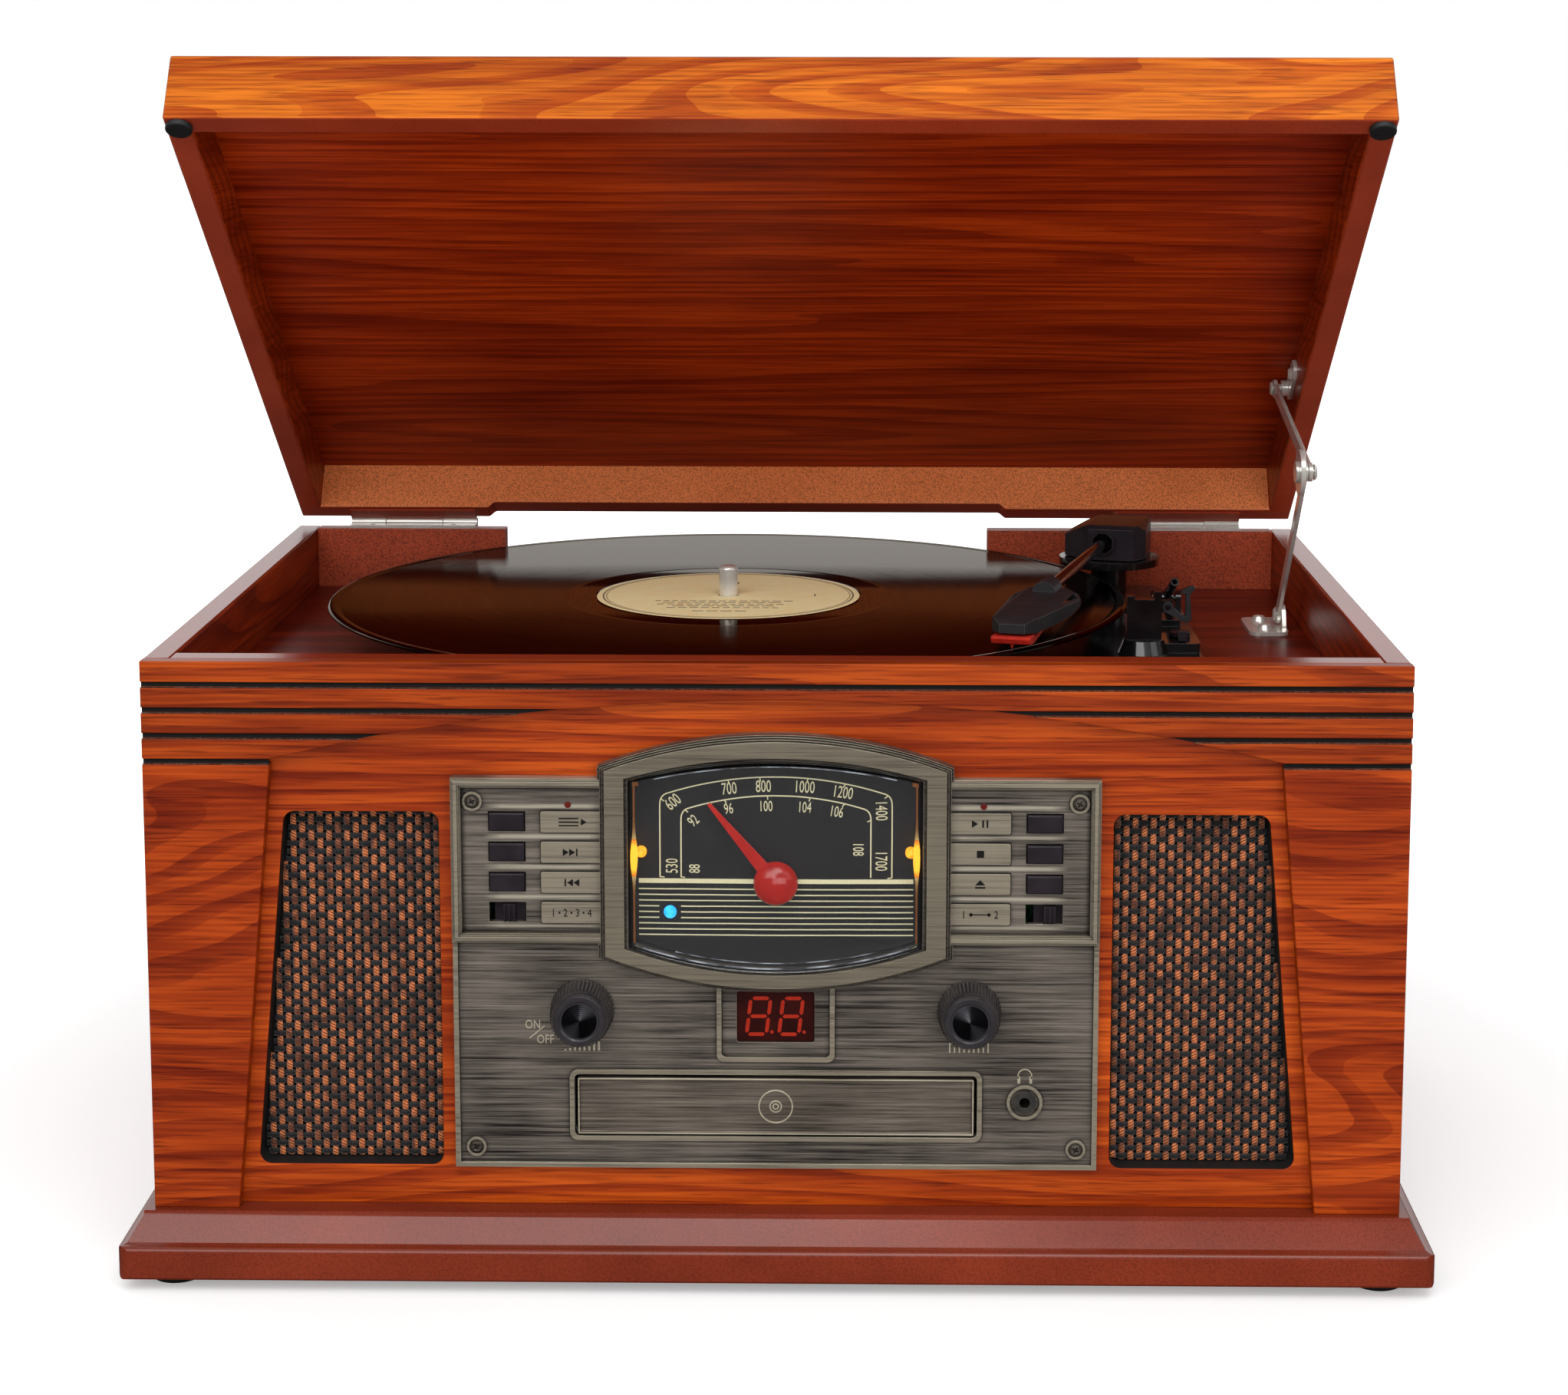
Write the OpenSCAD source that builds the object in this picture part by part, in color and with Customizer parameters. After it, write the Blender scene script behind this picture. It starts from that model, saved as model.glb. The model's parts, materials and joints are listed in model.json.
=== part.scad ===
// Stereo music centre: wooden cabinet with a record deck under a hinged lid, a radio dial,
// a disc tray in front and a cassette slot in the right side. Millimetres, Z up.
// Y runs from the front face of the header (0) to the back; every piece is then shifted so
// that the origin is below the middle of the whole object, on the surface it stands on.

/* [Cabinet] */
// Width of the cabinet over its side panels
cab_w = 418; // [400:1:440]
// Depth of the cabinet from the header's face to its back
cab_d = 292; // [284:1:320]
// Height of the cabinet from the base to its open top
cab_h = 187; // [180:1:210]
// Thickness of the cabinet and lid boards
board_t = 9; // [8:0.5:11]
// Thickness of the header and pilasters glued on the front
trim_t = 5.5; // [4:0.5:8]
// Depth of the record well below the cabinet's top edge
well_d = 24.3; // [22:0.1:26]
// Thickness of the deck board
deck_t = 9; // [6:0.5:10]

/* [Base] */
// Height of the moulded base
base_h = 21.5; // [18:0.5:26]
// How far the base stands out at the front and the sides
base_over = 11; // [10:0.5:16]
// Height of the upright band of the base
fascia_h = 11.5; // [9:0.5:13]
// Corner radius of the base in plan
base_r = 5; // [2:0.5:8]
// Height of the rubber feet
foot_h = 4.5; // [3:0.5:8]
// Radius of the rubber feet
foot_r = 9; // [7:0.5:11]

/* [Front trim] */
// Height of the header above the pilasters
header_h = 32.7; // [30:0.1:38]
// Rise of the arch in the header's lower edge
arch_rise = 20.5; // [16:0.5:23]
// Width of the arch between the pilasters
arch_w = 334; // [320:1:345]
// How much wider the opening between the pilasters is at the bottom
pilaster_taper = 13.5; // [6:0.5:18]
// Height of each black groove
groove_h = 2; // [1.5:0.1:3]
// Depth of each black groove
groove_d = 2; // [1:0.1:3]
// Height from the top edge to the first groove
groove_top = 7.9; // [6:0.1:9]
// Spacing of the grooves
groove_pitch = 8.6; // [7:0.1:9]

/* [Speaker openings] */
// Distance of the openings' upright edges from the centre line
grille_in = 112; // [111:0.5:115]
// Width of each opening at its top
grille_w_top = 51.5; // [46:0.5:53]
// Width of each opening at its bottom
grille_w_bot = 62.5; // [55:0.5:64]
// Height of each opening
grille_h = 122; // [110:1:124]
// Height of the openings above the bottom of the cabinet
grille_z = 13.5; // [12:0.5:18]
// Corner radius of the openings
grille_r = 4; // [2:0.5:6]
// Depth of the cloth behind the front board's face
cloth_deep = 7; // [5:0.5:7.5]
// Radius of each loudspeaker's rim
driver_r = 36.5; // [30:0.5:38]

/* [Control panel] */
// Width of the control panel
panel_w = 215; // [210:1:217]
// Height of the control panel
panel_h = 134; // [130:1:138]
// Height of the panel above the bottom of the cabinet
panel_z = 14; // [12:0.5:18]
// Thickness of the panel's plate
panel_t = 2.5; // [2:0.1:3]
// Height of the raised beads on the panel
bead_t = 0.8; // [0.4:0.1:1.2]
// Width of the raised beads
bead_w = 1.6; // [1.2:0.1:2.2]
// Width of each button frame
frame_w = 58; // [56:0.5:60]
// Height of each button frame
frame_h = 56; // [53:0.5:58]
// Width of the button frame's border
frame_b = 3.2; // [2.5:0.1:4]
// How far the button frames stand out of the panel
frame_t = 3; // [2:0.1:4]
// Distance of the panel screws from the panel's edges
screw_in = 7; // [6:0.2:8]

/* [Buttons] */
// Width of a push button
button_w = 11.6; // [10:0.2:12]
// Height of a push button
button_h = 6; // [5:0.2:6.6]
// Spacing of the button rows
button_pitch = 10.3; // [10:0.1:10.8]
// Distance of the buttons from the panel's side edges
button_in = 18.4; // [17:0.1:19]
// Width of a raised label plate
label_w = 20; // [18:0.5:21]
// Height of a raised label plate
label_h = 7.1; // [6:0.1:7.5]
// Distance of the label plates from the panel's side edges
label_in = 39.7; // [38:0.1:41]
// Travel of a push button
button_travel = 1.5; // [1:0.1:2]
// Width of a slide switch's knob
slider_w = 4; // [3:0.1:4.5]

/* [Dial] */
// Width of the dial's opening
dial_w = 97; // [92:0.5:98]
// Height of the dial's opening at its sides
dial_h = 56.5; // [52:0.5:58]
// Rise of the opening's upper arc
dial_rise = 6.4; // [4:0.2:8]
// Drop of the opening's lower arc
dial_drop = 8.4; // [5:0.2:9]
// Width of the border round the dial's opening
bezel_b = 10.3; // [9:0.1:11]
// How far the dial's border stands out of the panel
bezel_t = 5; // [4:0.1:6]
// Height of the pointer's axle above the lower corners of the dial's opening
hub_z = 20.6; // [18:0.2:24]
// Length of the pointer from its axle
pointer_l = 34.6; // [30:0.2:35.5]
// Radius of the pointer's domed hub
hub_r = 7.4; // [6:0.1:8]
// Where the pointer stands, in degrees left of upright
pointer_a = 39.7; // [0:0.1:80]
// Wall of the clear dial cover
lens_t = 1.5; // [1.2:0.1:2]
// Rise of the cover's domed front
lens_dome = 2.4; // [1.5:0.1:2.5]
// Height of the pointer's domed hub
hub_dome = 5; // [3:0.1:5.6]

/* [Knobs and jack] */
// Distance of the knobs from the panel's side edges
knob_in = 43; // [40:0.5:46]
// Height of the knobs above the panel's lower edge
knob_z = 54.7; // [53:0.1:56]
// Radius of a knob at its skirt
knob_r = 10.8; // [9:0.1:12]
// Length of a knob
knob_l = 13; // [10:0.5:14]
// Radius of the knob shafts
shaft_r = 3; // [2.5:0.1:3.2]
// Distance of the headphone socket from the panel's right-hand edge
jack_in = 24.2; // [22:0.1:27]
// Height of the headphone socket above the panel's lower edge
jack_z = 23.3; // [20:0.1:25]
// Radius of the headphone socket's hole, for a 3.5 mm plug
jack_r = 1.8; // [1.76:0.01:1.85]

/* [Disc tray] */
// Width of the tray's door
tray_w = 132.8; // [130:0.2:136]
// Height of the tray's door
tray_h = 19.6; // [18:0.2:20.5]
// Height of the door above the panel's lower edge
tray_z = 11.6; // [10:0.1:12]
// Length of the tray behind its door
tray_l = 146; // [140:1:155]
// How far the tray comes out
tray_travel = 130; // [120:1:135]
// Radius of a compact disc
disc_r = 60; // [59.5:0.1:60.5]

/* [Display] */
// Width of the display window
window_w = 26; // [24:0.5:28]
// Height of the display window
window_h = 17.6; // [16:0.2:18.5]
// Height of the window's centre above the panel's lower edge
window_z = 52.4; // [51:0.1:53]
// Width of the frame round the window
window_frame = 39.4; // [36:0.2:42]

/* [Record deck] */
// Radius of a long-playing record
record_r = 151; // [150:0.5:151]
// Thickness of the record
record_t = 1.5; // [1.2:0.1:2]
// Radius of the record's paper label
label_r = 50; // [48:0.5:52]
// Distance of the spindle left of the centre line
spindle_x = 22.5; // [18:0.5:26]
// Gap between the record's edge and the front wall of the well
record_gap = 1.5; // [1:0.5:3]
// Height of the record's playing face above the deck board
record_z = 17.4; // [16:0.1:18]
// Radius of the spindle
spindle_r = 3.55; // [3.5:0.01:3.6]
// Height of the spindle above the record
spindle_h = 11.5; // [8:0.5:14]
// Radius of the platter
platter_r = 98; // [90:1:104]
// Depth of the platter's rim
platter_rim = 8; // [6:0.5:8.5]
// Radius of the ring below the platter that the belt drives
drive_r = 64; // [58:1:66]
// Radius of the motor pulley
pulley_r = 6; // [5:0.2:8]
// Distance of the motor from the spindle
motor_d = 81; // [78:0.5:84]
// Height of the deck's plastic plate above the deck board
chassis_t = 3.3; // [3:0.1:4]

/* [Tonearm] */
// Distance of the arm's pivot right of the centre line
arm_x = 129; // [126:0.5:132]
// Distance of the arm's pivot behind the spindle
arm_back = 80.5; // [78:0.5:82]
// Distance from the pivot to the stylus
arm_l = 190.8; // [188:0.2:193]
// Height of the arm tube's axis above the deck board
arm_z = 27.3; // [26.5:0.1:28]
// Radius of the arm tube
tube_r = 2.3; // [2:0.1:2.6]
// Radius of the lead-in groove that the stylus stands on
groove_r = 146.5; // [140:0.5:147]
// Radius of the bearing disc under the arm's housing
disc_flange_r = 20.2; // [18:0.2:20.4]
// Swing from the record's edge out to the arm rest, in degrees
park_a = 16.3; // [15:0.1:17]
// Height of the arm's housing
house_h = 14; // [13.5:0.1:16]
// Length of the headshell from the end of the tube to the stylus
shell_l = 68; // [64:0.5:70]
// Distance of the arm rest from the pivot
rest_d = 118; // [114:0.5:119]

/* [Lid] */
// Depth of the lid
lid_d = 297; // [295:1:305]
// How much narrower the lid is than the cabinet, in all
lid_less = 2; // [0:0.5:4]
// Height of the lid
lid_h = 25.8; // [24:0.2:30]
// Thickness of the lid's top panel
lid_top_t = 6; // [4:0.5:6.5]
// How far the lid stands open, in degrees
lid_open = 35.5; // [20:0.5:40]
// Gap between the closed lid and the cabinet
lid_gap = 2.4; // [2.2:0.1:3]
// Depth of the cut in the cabinet's back that the record overhangs
notch_d = 15; // [12:0.5:18]
// Width of that cut
notch_w = 202; // [200:1:206]

/* [Hinges and stay] */
// Length of each hinge
hinge_l = 53; // [45:1:60]
// Distance of the hinges' centres from the centre line
hinge_x = 160.5; // [150:0.5:165]
// Radius of the hinge barrels
barrel_r = 2; // [1.8:0.1:2.2]
// Distance of the stay's lid pivot from the hinge line
stay_reach = 89.6; // [85:0.1:94]
// Height of the stay's lid pivot above the hinge line
stay_rise = 15.7; // [14:0.1:17]
// Distance of the stay's deck pivot in front of the hinge line
stay_foot = 99.7; // [96:0.1:102]
// Height of the stay's deck pivot above the deck board
stay_foot_z = 5.5; // [5:0.1:7]
// Width of the stay arms
stay_w = 7; // [6:0.5:8]

/* [Cassette slot] */
// Width of the cassette slot
slot_w = 106; // [105:0.5:110]
// Height of the cassette slot
slot_h = 16; // [15.5:0.1:17]
// Height of the slot's centre above the bottom of the cabinet
slot_z = 100; // [90:1:110]
// Distance of the slot's centre behind the header's face
slot_y = 150; // [145:1:160]

/* [Inside] */
// Width of the transformer's iron core
core_w = 44; // [36:1:50]

/* [Fits] */
// Gap round pieces that slide or fit into an opening
gap = 0.4; // [0.3:0.05:0.6]
// Radial clearance of shafts, pins and axles
run = 0.05; // [0.03:0.01:0.08]

/* [Hidden] */
$fn = 48;

// Heights above the surface that the object stands on
z_base = foot_h;
z_cab = foot_h + base_h;
z_top = z_cab + cab_h;
z_deck = z_top - well_d;
z_record = z_deck + record_z;
z_panel = z_cab + panel_z;
z_dial = z_panel + panel_h - dial_h;
z_hub = z_dial + hub_z;
z_rows = z_panel + panel_h - 15;

// Places on the panel, to the side of its middle
button_x = panel_w / 2 - button_in;
label_x = panel_w / 2 - label_in;
knob_x = panel_w / 2 - knob_in;
jack_x = panel_w / 2 - jack_in;

// Distances from the header's face; those in front of it are negative
y_board = trim_t;
y_inner = trim_t + board_t;
y_panel = trim_t - panel_t;
y_back = cab_d;
y_bezel = y_panel - bezel_t;
y_dial_face = y_panel + 5;
y_spindle = y_inner + record_gap + record_r;
y_arm = y_spindle + arm_back;
hinge_y = cab_d + barrel_r + 0.3;
hinge_z = z_top + lid_gap / 2;
in_x = cab_w / 2 - board_t;
origin_y = (y_spindle + record_r - base_over) / 2;

// The arm's heading at rest follows from where the stylus meets the lead-in groove
arm_span = norm([arm_x + spindle_x, arm_back]);
arm_bias = acos((arm_l * arm_l + arm_span * arm_span - groove_r * groove_r) / (2 * arm_l * arm_span));
arm_a = atan2(arm_x + spindle_x, arm_back) - arm_bias;

// The stay is a parallelogram, so both arms turn by as much as the lid does
stay_pivot = [-stay_reach * cos(lid_open) + stay_rise * sin(lid_open),
              stay_reach * sin(lid_open) + stay_rise * cos(lid_open)];
stay_deck = [hinge_y - stay_foot, z_deck + stay_foot_z];
stay_knee = [stay_deck[0] + stay_pivot[0], stay_deck[1] + stay_pivot[1]];
stay_x = in_x - 10;
arm_plate = 1.5;

// Colours as on the real object
cherry = [0.66, 0.27, 0.10];
mahogany = [0.45, 0.14, 0.08];
raw_board = [0.62, 0.36, 0.22];
pewter = [0.36, 0.35, 0.32];
black = [0.06, 0.06, 0.07];
nickel = [0.75, 0.74, 0.72];
circuit = [0.12, 0.32, 0.16];

// Moves a piece from the header's face to the object's own origin
module placed() { translate([0, -origin_y, 0]) children(); }

// Extrudes a front view drawn in X and Z, from y0 back to y1
module slab(y0, y1) {
    placed() translate([0, y1, 0]) rotate([90, 0, 0]) linear_extrude(y1 - y0) children();
}

// A box between two corners
module block(a, b) { translate(a) cube([b[0] - a[0], b[1] - a[1], b[2] - a[2]]); }

// A rectangle between two corners, with round corners if r is more than 0
module plate(a, b, r = 0) {
    if (r > 0)
        translate([a[0] + r, a[1] + r])
            offset(r, $fn = r < 2 ? 12 : r > 5 ? 48 : 20) square([b[0] - a[0] - 2 * r, b[1] - a[1] - 2 * r]);
    else
        translate(a) square([b[0] - a[0], b[1] - a[1]]);
}

// Repeats a piece on the other side of the centre line
module both_sides() { children(); mirror([1, 0, 0]) children(); }

// Points of an arc of the given centre and radius, between two angles
function arc(c, r, a0, a1, n) = [for (i = [0:n]) let (a = a0 + (a1 - a0) * i / n) c + r * [cos(a), sin(a)]];

// Radius of the circle that rises by s over a chord of width w
function chord_r(w, s) = (w * w / 4 + s * s) / (2 * s);

// ---- Base and feet ----

// Section of the base's moulded edge: fascia, rounded nose, cove, sloped band and top step
function moulding(edge) = concat(
    [[edge, z_base + 1], [edge, z_base + fascia_h - 2]],
    arc([edge - 2, z_base + fascia_h - 2], 2, 0, 90, 5),
    [[edge - 3.2, z_base + fascia_h + 0.6], [edge - base_over + 3.2, z_cab - 1.6],
     [edge - base_over + 2.9, z_cab], [-1, z_cab], [-1, z_base], [edge - 1, z_base]]);

module base_plinth() {
    half = cab_w / 2 + base_over;
    depth = cab_d + base_over;
    rail = 30;
    color(mahogany) placed() difference() {
        intersection() {
            translate([0, cab_d, 0]) rotate([90, 0, 0]) linear_extrude(depth)
                both_sides() polygon(moulding(half));
            translate([-half, cab_d, 0]) rotate([90, 0, 90]) linear_extrude(2 * half)
                mirror([1, 0]) polygon(moulding(depth));
            linear_extrude(z_cab) hull() both_sides() {
                translate([half - base_r, base_r - base_over]) circle(base_r);
                translate([half - 1, cab_d - 1]) square(1);
            }
        }
        block([rail - half, rail - base_over, 0], [half - rail, cab_d - rail, z_cab - board_t]);
    }
}

module feet() {
    inset = foot_r + 8;
    color(black) placed() both_sides() for (y = [inset - base_over, cab_d - inset])
        translate([cab_w / 2 + base_over - inset, y, 0]) {
            cylinder(r1 = foot_r - 0.6, r2 = foot_r, h = 0.6);
            translate([0, 0, 0.6]) cylinder(r = foot_r, h = foot_h - 0.6);
        }
}

// ---- Cabinet boards ----

module side_panels() {
    color(mahogany) placed() {
        block([-cab_w / 2, y_board, z_cab], [-in_x, cab_d, z_top]);
        difference() {
            block([in_x, y_board, z_cab], [cab_w / 2, cab_d, z_top]);
            block([in_x - 1, slot_y - slot_w / 2 - 5, z_cab + slot_z - slot_h / 2 - 14],
                  [cab_w / 2 + 1, slot_y + slot_w / 2 + 5, z_cab + slot_z + slot_h / 2 + 5]);
        }
    }
}

// Outline of a speaker opening, right-hand side; less draws it smaller all round
module grille_outline(less = 0) {
    z = z_cab + grille_z;
    offset(grille_r) offset(-grille_r - less) polygon([
        [grille_in, z], [grille_in + grille_w_bot, z],
        [grille_in + grille_w_top, z + grille_h], [grille_in, z + grille_h]]);
}

module front_baffle() {
    rim = 9;
    low = 7;
    color(cherry) slab(y_board, y_inner) difference() {
        plate([-in_x, z_cab], [in_x, z_top]);
        both_sides() grille_outline();
        plate([rim - panel_w / 2, z_panel + low], [panel_w / 2 - rim, z_panel + panel_h - low]);
        plate([-dial_w / 2 - 2, z_panel], [dial_w / 2 + 2, z_panel + panel_h - low]);
        dial_outline(1.7);
    }
}

module front_trim() {
    arch_z = z_top - header_h;
    arch_r = chord_r(arch_w, arch_rise);
    color(cherry) {
        difference() {
            slab(0, trim_t) polygon(concat(
                [[cab_w / 2, arch_z], [cab_w / 2, z_top], [-cab_w / 2, z_top], [-cab_w / 2, arch_z]],
                [for (i = [-16:16]) let (x = i / 32 * arch_w)
                    [x, arch_z + arch_rise - arch_r + sqrt(arch_r * arch_r - x * x)]]));
            for (z = [z_top - groove_top : -groove_pitch : arch_z + groove_h]) slab(-1, groove_d)
                plate([-cab_w / 2 - 1, z - groove_h / 2], [cab_w / 2 + 1, z + groove_h / 2]);
        }
        slab(0, trim_t) both_sides() polygon([
            [cab_w / 2, z_cab], [cab_w / 2, arch_z - groove_h], [arch_w / 2, arch_z - groove_h],
            [arch_w / 2 + pilaster_taper, z_cab]]);
        slab(groove_d, trim_t) both_sides()
            plate([arch_w / 2 + 1, arch_z - groove_h - 1], [cab_w / 2, arch_z + 1]);
    }
}

notch_x = 2.5 - spindle_x;

module back_board() {
    access = 48;
    color(raw_board) slab(cab_d - board_t, cab_d) difference() {
        plate([-in_x, z_cab], [in_x, z_top]);
        plate([notch_x - notch_w / 2, z_top - notch_d], [notch_x + notch_w / 2, z_top + 1]);
        plate([access - in_x, z_cab + 18], [in_x - access, z_deck - deck_t - 18]);
    }
}

// Height of the rear cover's top edge
cover_z = z_deck - deck_t - 8;
cover_half = in_x - 38;
cover_t = 3;

module rear_cover() {
    slot_n = 9;
    color(black) slab(cab_d, cab_d + cover_t) difference() {
        plate([-cover_half, z_cab + 8], [cover_half, cover_z], 4);
        for (i = [0:slot_n - 1], side = [-1, 1])
            translate([side * 80 + (i - (slot_n - 1) / 2) * 8, cover_z - 45])
                plate([-1.5, -20], [1.5, 20], 1.4);
        for (x = [-1, 1]) translate([x * 9, z_cab + 34]) circle(4.2);
        translate([-110, z_cab + 34]) circle(5);
        translate([60, z_cab + 34]) circle(2.2);
        for (x = [-1, 1], z = [z_cab + 14, cover_z - 6]) translate([x * (cover_half - 6), z]) circle(1.6);
    }
}

// A cross-recessed pan-head screw whose head stands on y = 0 and faces the front
module pan_screw(head_r, shank) {
    rotate([90, 0, 0]) difference() {
        union() {
            cylinder(r1 = head_r, r2 = head_r * 0.72, h = head_r * 0.6);
            translate([0, 0, -shank]) cylinder(r = head_r * 0.45, h = shank);
        }
        for (a = [0, 90]) rotate([0, 0, a]) translate([-head_r * 0.55, -head_r * 0.12, head_r * 0.25])
            cube([head_r * 1.1, head_r * 0.24, head_r]);
    }
}

module case_screws() {
    color(nickel) placed() {
        both_sides() for (z = [z_panel + screw_in, z_panel + panel_h - screw_in - 1.2])
            translate([panel_w / 2 - screw_in, y_panel, z]) rotate([0, 30, 0]) pan_screw(2, 8);
        both_sides() for (z = [z_cab + 14, cover_z - 6])
            translate([cover_half - 6, cab_d + cover_t, z]) rotate([0, 0, 180]) pan_screw(2.8, 10);
    }
}

// ---- Deck board and record deck ----

chassis_x0 = -spindle_x - platter_r - 12;
chassis_x1 = arm_x + 25.5;
chassis_y0 = y_spindle - platter_r - 10;
chassis_y1 = y_arm + 27;
z_chassis = z_deck + chassis_t;

module deck_board() {
    lip = 7;
    color(mahogany) placed() translate([0, 0, z_deck - deck_t]) linear_extrude(deck_t) difference() {
        plate([-in_x, y_inner], [in_x, cab_d - board_t]);
        plate([chassis_x0 + lip, chassis_y0 + lip], [chassis_x1 - lip, chassis_y1 - lip], 8);
    }
}

module at_spindle() { placed() translate([-spindle_x, y_spindle, 0]) children(); }
module at_pivot() { placed() translate([arm_x, y_arm, 0]) children(); }

// The arm's own frame: the tube runs towards -Y from the pivot
module at_arm() { at_pivot() rotate([0, 0, -arm_a]) children(); }

// The same frame with the arm swung out onto its rest
module at_rest_post() { at_pivot() rotate([0, 0, park_a - arm_a]) translate([0, -rest_d, 0]) children(); }

// Where the motor hangs, seen from the spindle
motor_at = [-motor_d * cos(35), motor_d * sin(35)];
pillar_r = 7.5;
post_r = 3;
z_flange = z_deck + 16.8;
flange_t = 3;
z_tube = z_deck + arm_z;
skirt_in = 7;
pad_h = 3.5;
z_pad = z_chassis + pad_h;
pad_x = [arm_x + 10, chassis_x1 - 1];
pad_y = [y_arm - 120, y_arm - 36];
cue_at = [arm_x + 18.5, y_arm - 48, z_pad + 4.2];
cue_pin = 1.2;
speed_at = [arm_x + 18, y_arm - 106];
rest_w = 12.8;
clip_at = [rest_w / 2 + 2.4, 0, z_tube - 7.2];
clip_pin = 1;

module turntable_chassis() {
    x = [chassis_x0, chassis_x1];
    y = [chassis_y0, chassis_y1];
    low = skirt_in + gap;
    inner = low + 3;
    boss_r = 9;
    rest_top = z_tube - 1;
    ear = 2.2;
    color(black) {
        difference() {
            union() {
                placed() {
                    translate([0, 0, z_deck]) linear_extrude(chassis_t - 1.2)
                        plate([x[0], y[0]], [x[1], y[1]], 12);
                    translate([0, 0, z_chassis - 1.2]) linear_extrude(1.2)
                        plate([x[0] + 1.2, y[0] + 1.2], [x[1] - 1.2, y[1] - 1.2], 11);
                    translate([0, 0, z_deck - 14]) linear_extrude(14)
                        plate([x[0] + low, y[0] + low], [x[1] - low, y[1] - low], 8);
                    translate([0, 0, z_chassis - 0.5]) linear_extrude(pad_h + 0.5)
                        plate([pad_x[0], pad_y[0]], [pad_x[1], pad_y[1]], 2);
                    translate([0, 0, z_pad - 0.5]) linear_extrude(3)
                        plate([pad_x[0] + 2, pad_y[0] + 34], [pad_x[1] - 4, pad_y[0] + 56], 1);
                    for (side = [-1, 1]) translate([cue_at[0] + side * 4.6, cue_at[1], z_pad - 0.5])
                        rotate([90, 0, 90]) linear_extrude(ear, center = true) union() {
                            translate([-3, 0]) square([6, 4.7]);
                            translate([0, 4.7]) circle(3);
                        }
                }
                at_spindle() translate([0, 0, z_deck - 26]) cylinder(r = boss_r, h = 27);
                at_pivot() translate([0, 0, z_deck - 14]) cylinder(r = pillar_r, h = z_flange - z_deck + 15);
                at_pivot() translate([0, 0, z_flange]) cylinder(r = disc_flange_r, h = flange_t, $fn = 96);
                at_rest_post() {
                    translate([0, 0, z_chassis - 0.5]) cylinder(r1 = 9.6, r2 = 7.4, h = 5.5);
                    translate([-rest_w / 2, -3, z_chassis + 4]) cube([rest_w, 6, rest_top - z_chassis - 4]);
                    translate([rest_w / 2 - 1, 1.8, clip_at[2] - 2.2])
                        cube([clip_at[0] - rest_w / 2 + 3.4, 1.2, 4.4]);
                    translate(clip_at) rotate([90, 0, 0]) translate([0, 0, -2]) cylinder(r = clip_pin, h = 3.6);
                }
            }
            placed() {
                translate([0, 0, z_deck - 15]) linear_extrude(15) difference() {
                    plate([x[0] + inner, y[0] + inner], [x[1] - inner, y[1] - inner], 6);
                    translate([-spindle_x, y_spindle]) circle(boss_r);
                    translate([arm_x, y_arm]) circle(pillar_r);
                }
                translate([cue_at[0] - 3, cue_at[1] - 4, z_chassis - 5]) cube([6, 8, 12]);
                translate(cue_at) rotate([0, 90, 0]) cylinder(r = cue_pin + run, h = 20, center = true);
                translate([speed_at[0], speed_at[1], z_deck - 5]) cylinder(r = 2 + run, h = 20);
            }
            at_spindle() {
                translate([0, 0, z_deck - 24 - run]) cylinder(r = spindle_r + run, h = 40);
                translate([motor_at[0], motor_at[1], z_deck - 5]) cylinder(r = 4, h = 20);
            }
            at_pivot() translate([0, 0, z_deck - 20]) cylinder(r = post_r + run, h = 60);
            at_rest_post() {
                translate([-3.6, -4, z_tube - tube_r - 1.7]) cube([7.2, 8, 10]);
                translate([-rest_w, -4, z_tube - tube_r - gap]) cube([rest_w, 8, 10]);
            }
        }
    }
}

platter_t = 2.8;
mat_t = 1.6;
z_platter = z_record - record_t - mat_t;

module platter() {
    color(nickel) at_spindle() rotate_extrude($fn = 120) polygon([
        [spindle_r, z_platter - 7], [8, z_platter - 7], [8, z_platter - platter_t],
        [drive_r - 3, z_platter - platter_t], [drive_r - 3, z_platter - platter_rim],
        [drive_r, z_platter - platter_rim], [drive_r, z_platter - platter_t],
        [platter_r - 3, z_platter - platter_t], [platter_r - 3, z_platter - platter_rim],
        [platter_r - 0.8, z_platter - platter_rim], [platter_r, z_platter - platter_rim + 0.8],
        [platter_r, z_platter - 0.8], [platter_r - 0.8, z_platter], [spindle_r, z_platter]]);
}

module slip_mat() {
    color(black) at_spindle() translate([0, 0, z_platter]) difference() {
        cylinder(r = platter_r - 2, h = mat_t, $fn = 120);
        translate([0, 0, -1]) cylinder(r = spindle_r + run, h = mat_t + 2);
    }
}

module record() {
    hole = spindle_r + 0.1;
    low = z_record - record_t;
    color(black) at_spindle() rotate_extrude($fn = 180) polygon([
        [hole, low], [record_r - 1, low], [record_r, low + 0.5], [record_r, z_record - 0.4],
        [record_r - 0.6, z_record], [record_r - 3, z_record], [record_r - 4, z_record - 0.25],
        [label_r + 12, z_record - 0.25], [label_r + 11, z_record - 0.3], [label_r + 1, z_record - 0.3],
        [label_r, z_record], [hole, z_record]]);
}

module spindle() {
    tip = 1.6;
    color(nickel) at_spindle() rotate_extrude() polygon(concat(
        [[0, z_deck - 24], [spindle_r, z_deck - 24]],
        arc([spindle_r - tip, z_record + spindle_h - tip], tip, 0, 90, 6),
        [[0, z_record + spindle_h]]));
}

module drive_motor() {
    color(nickel) at_spindle() translate([motor_at[0], motor_at[1], z_deck - 36]) {
        cylinder(r = 16, h = 36);
        cylinder(r = 3.6, h = 38);
        cylinder(r = 1, h = z_belt + belt_h - 0.4 - z_deck + 36);
    }
}

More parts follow.
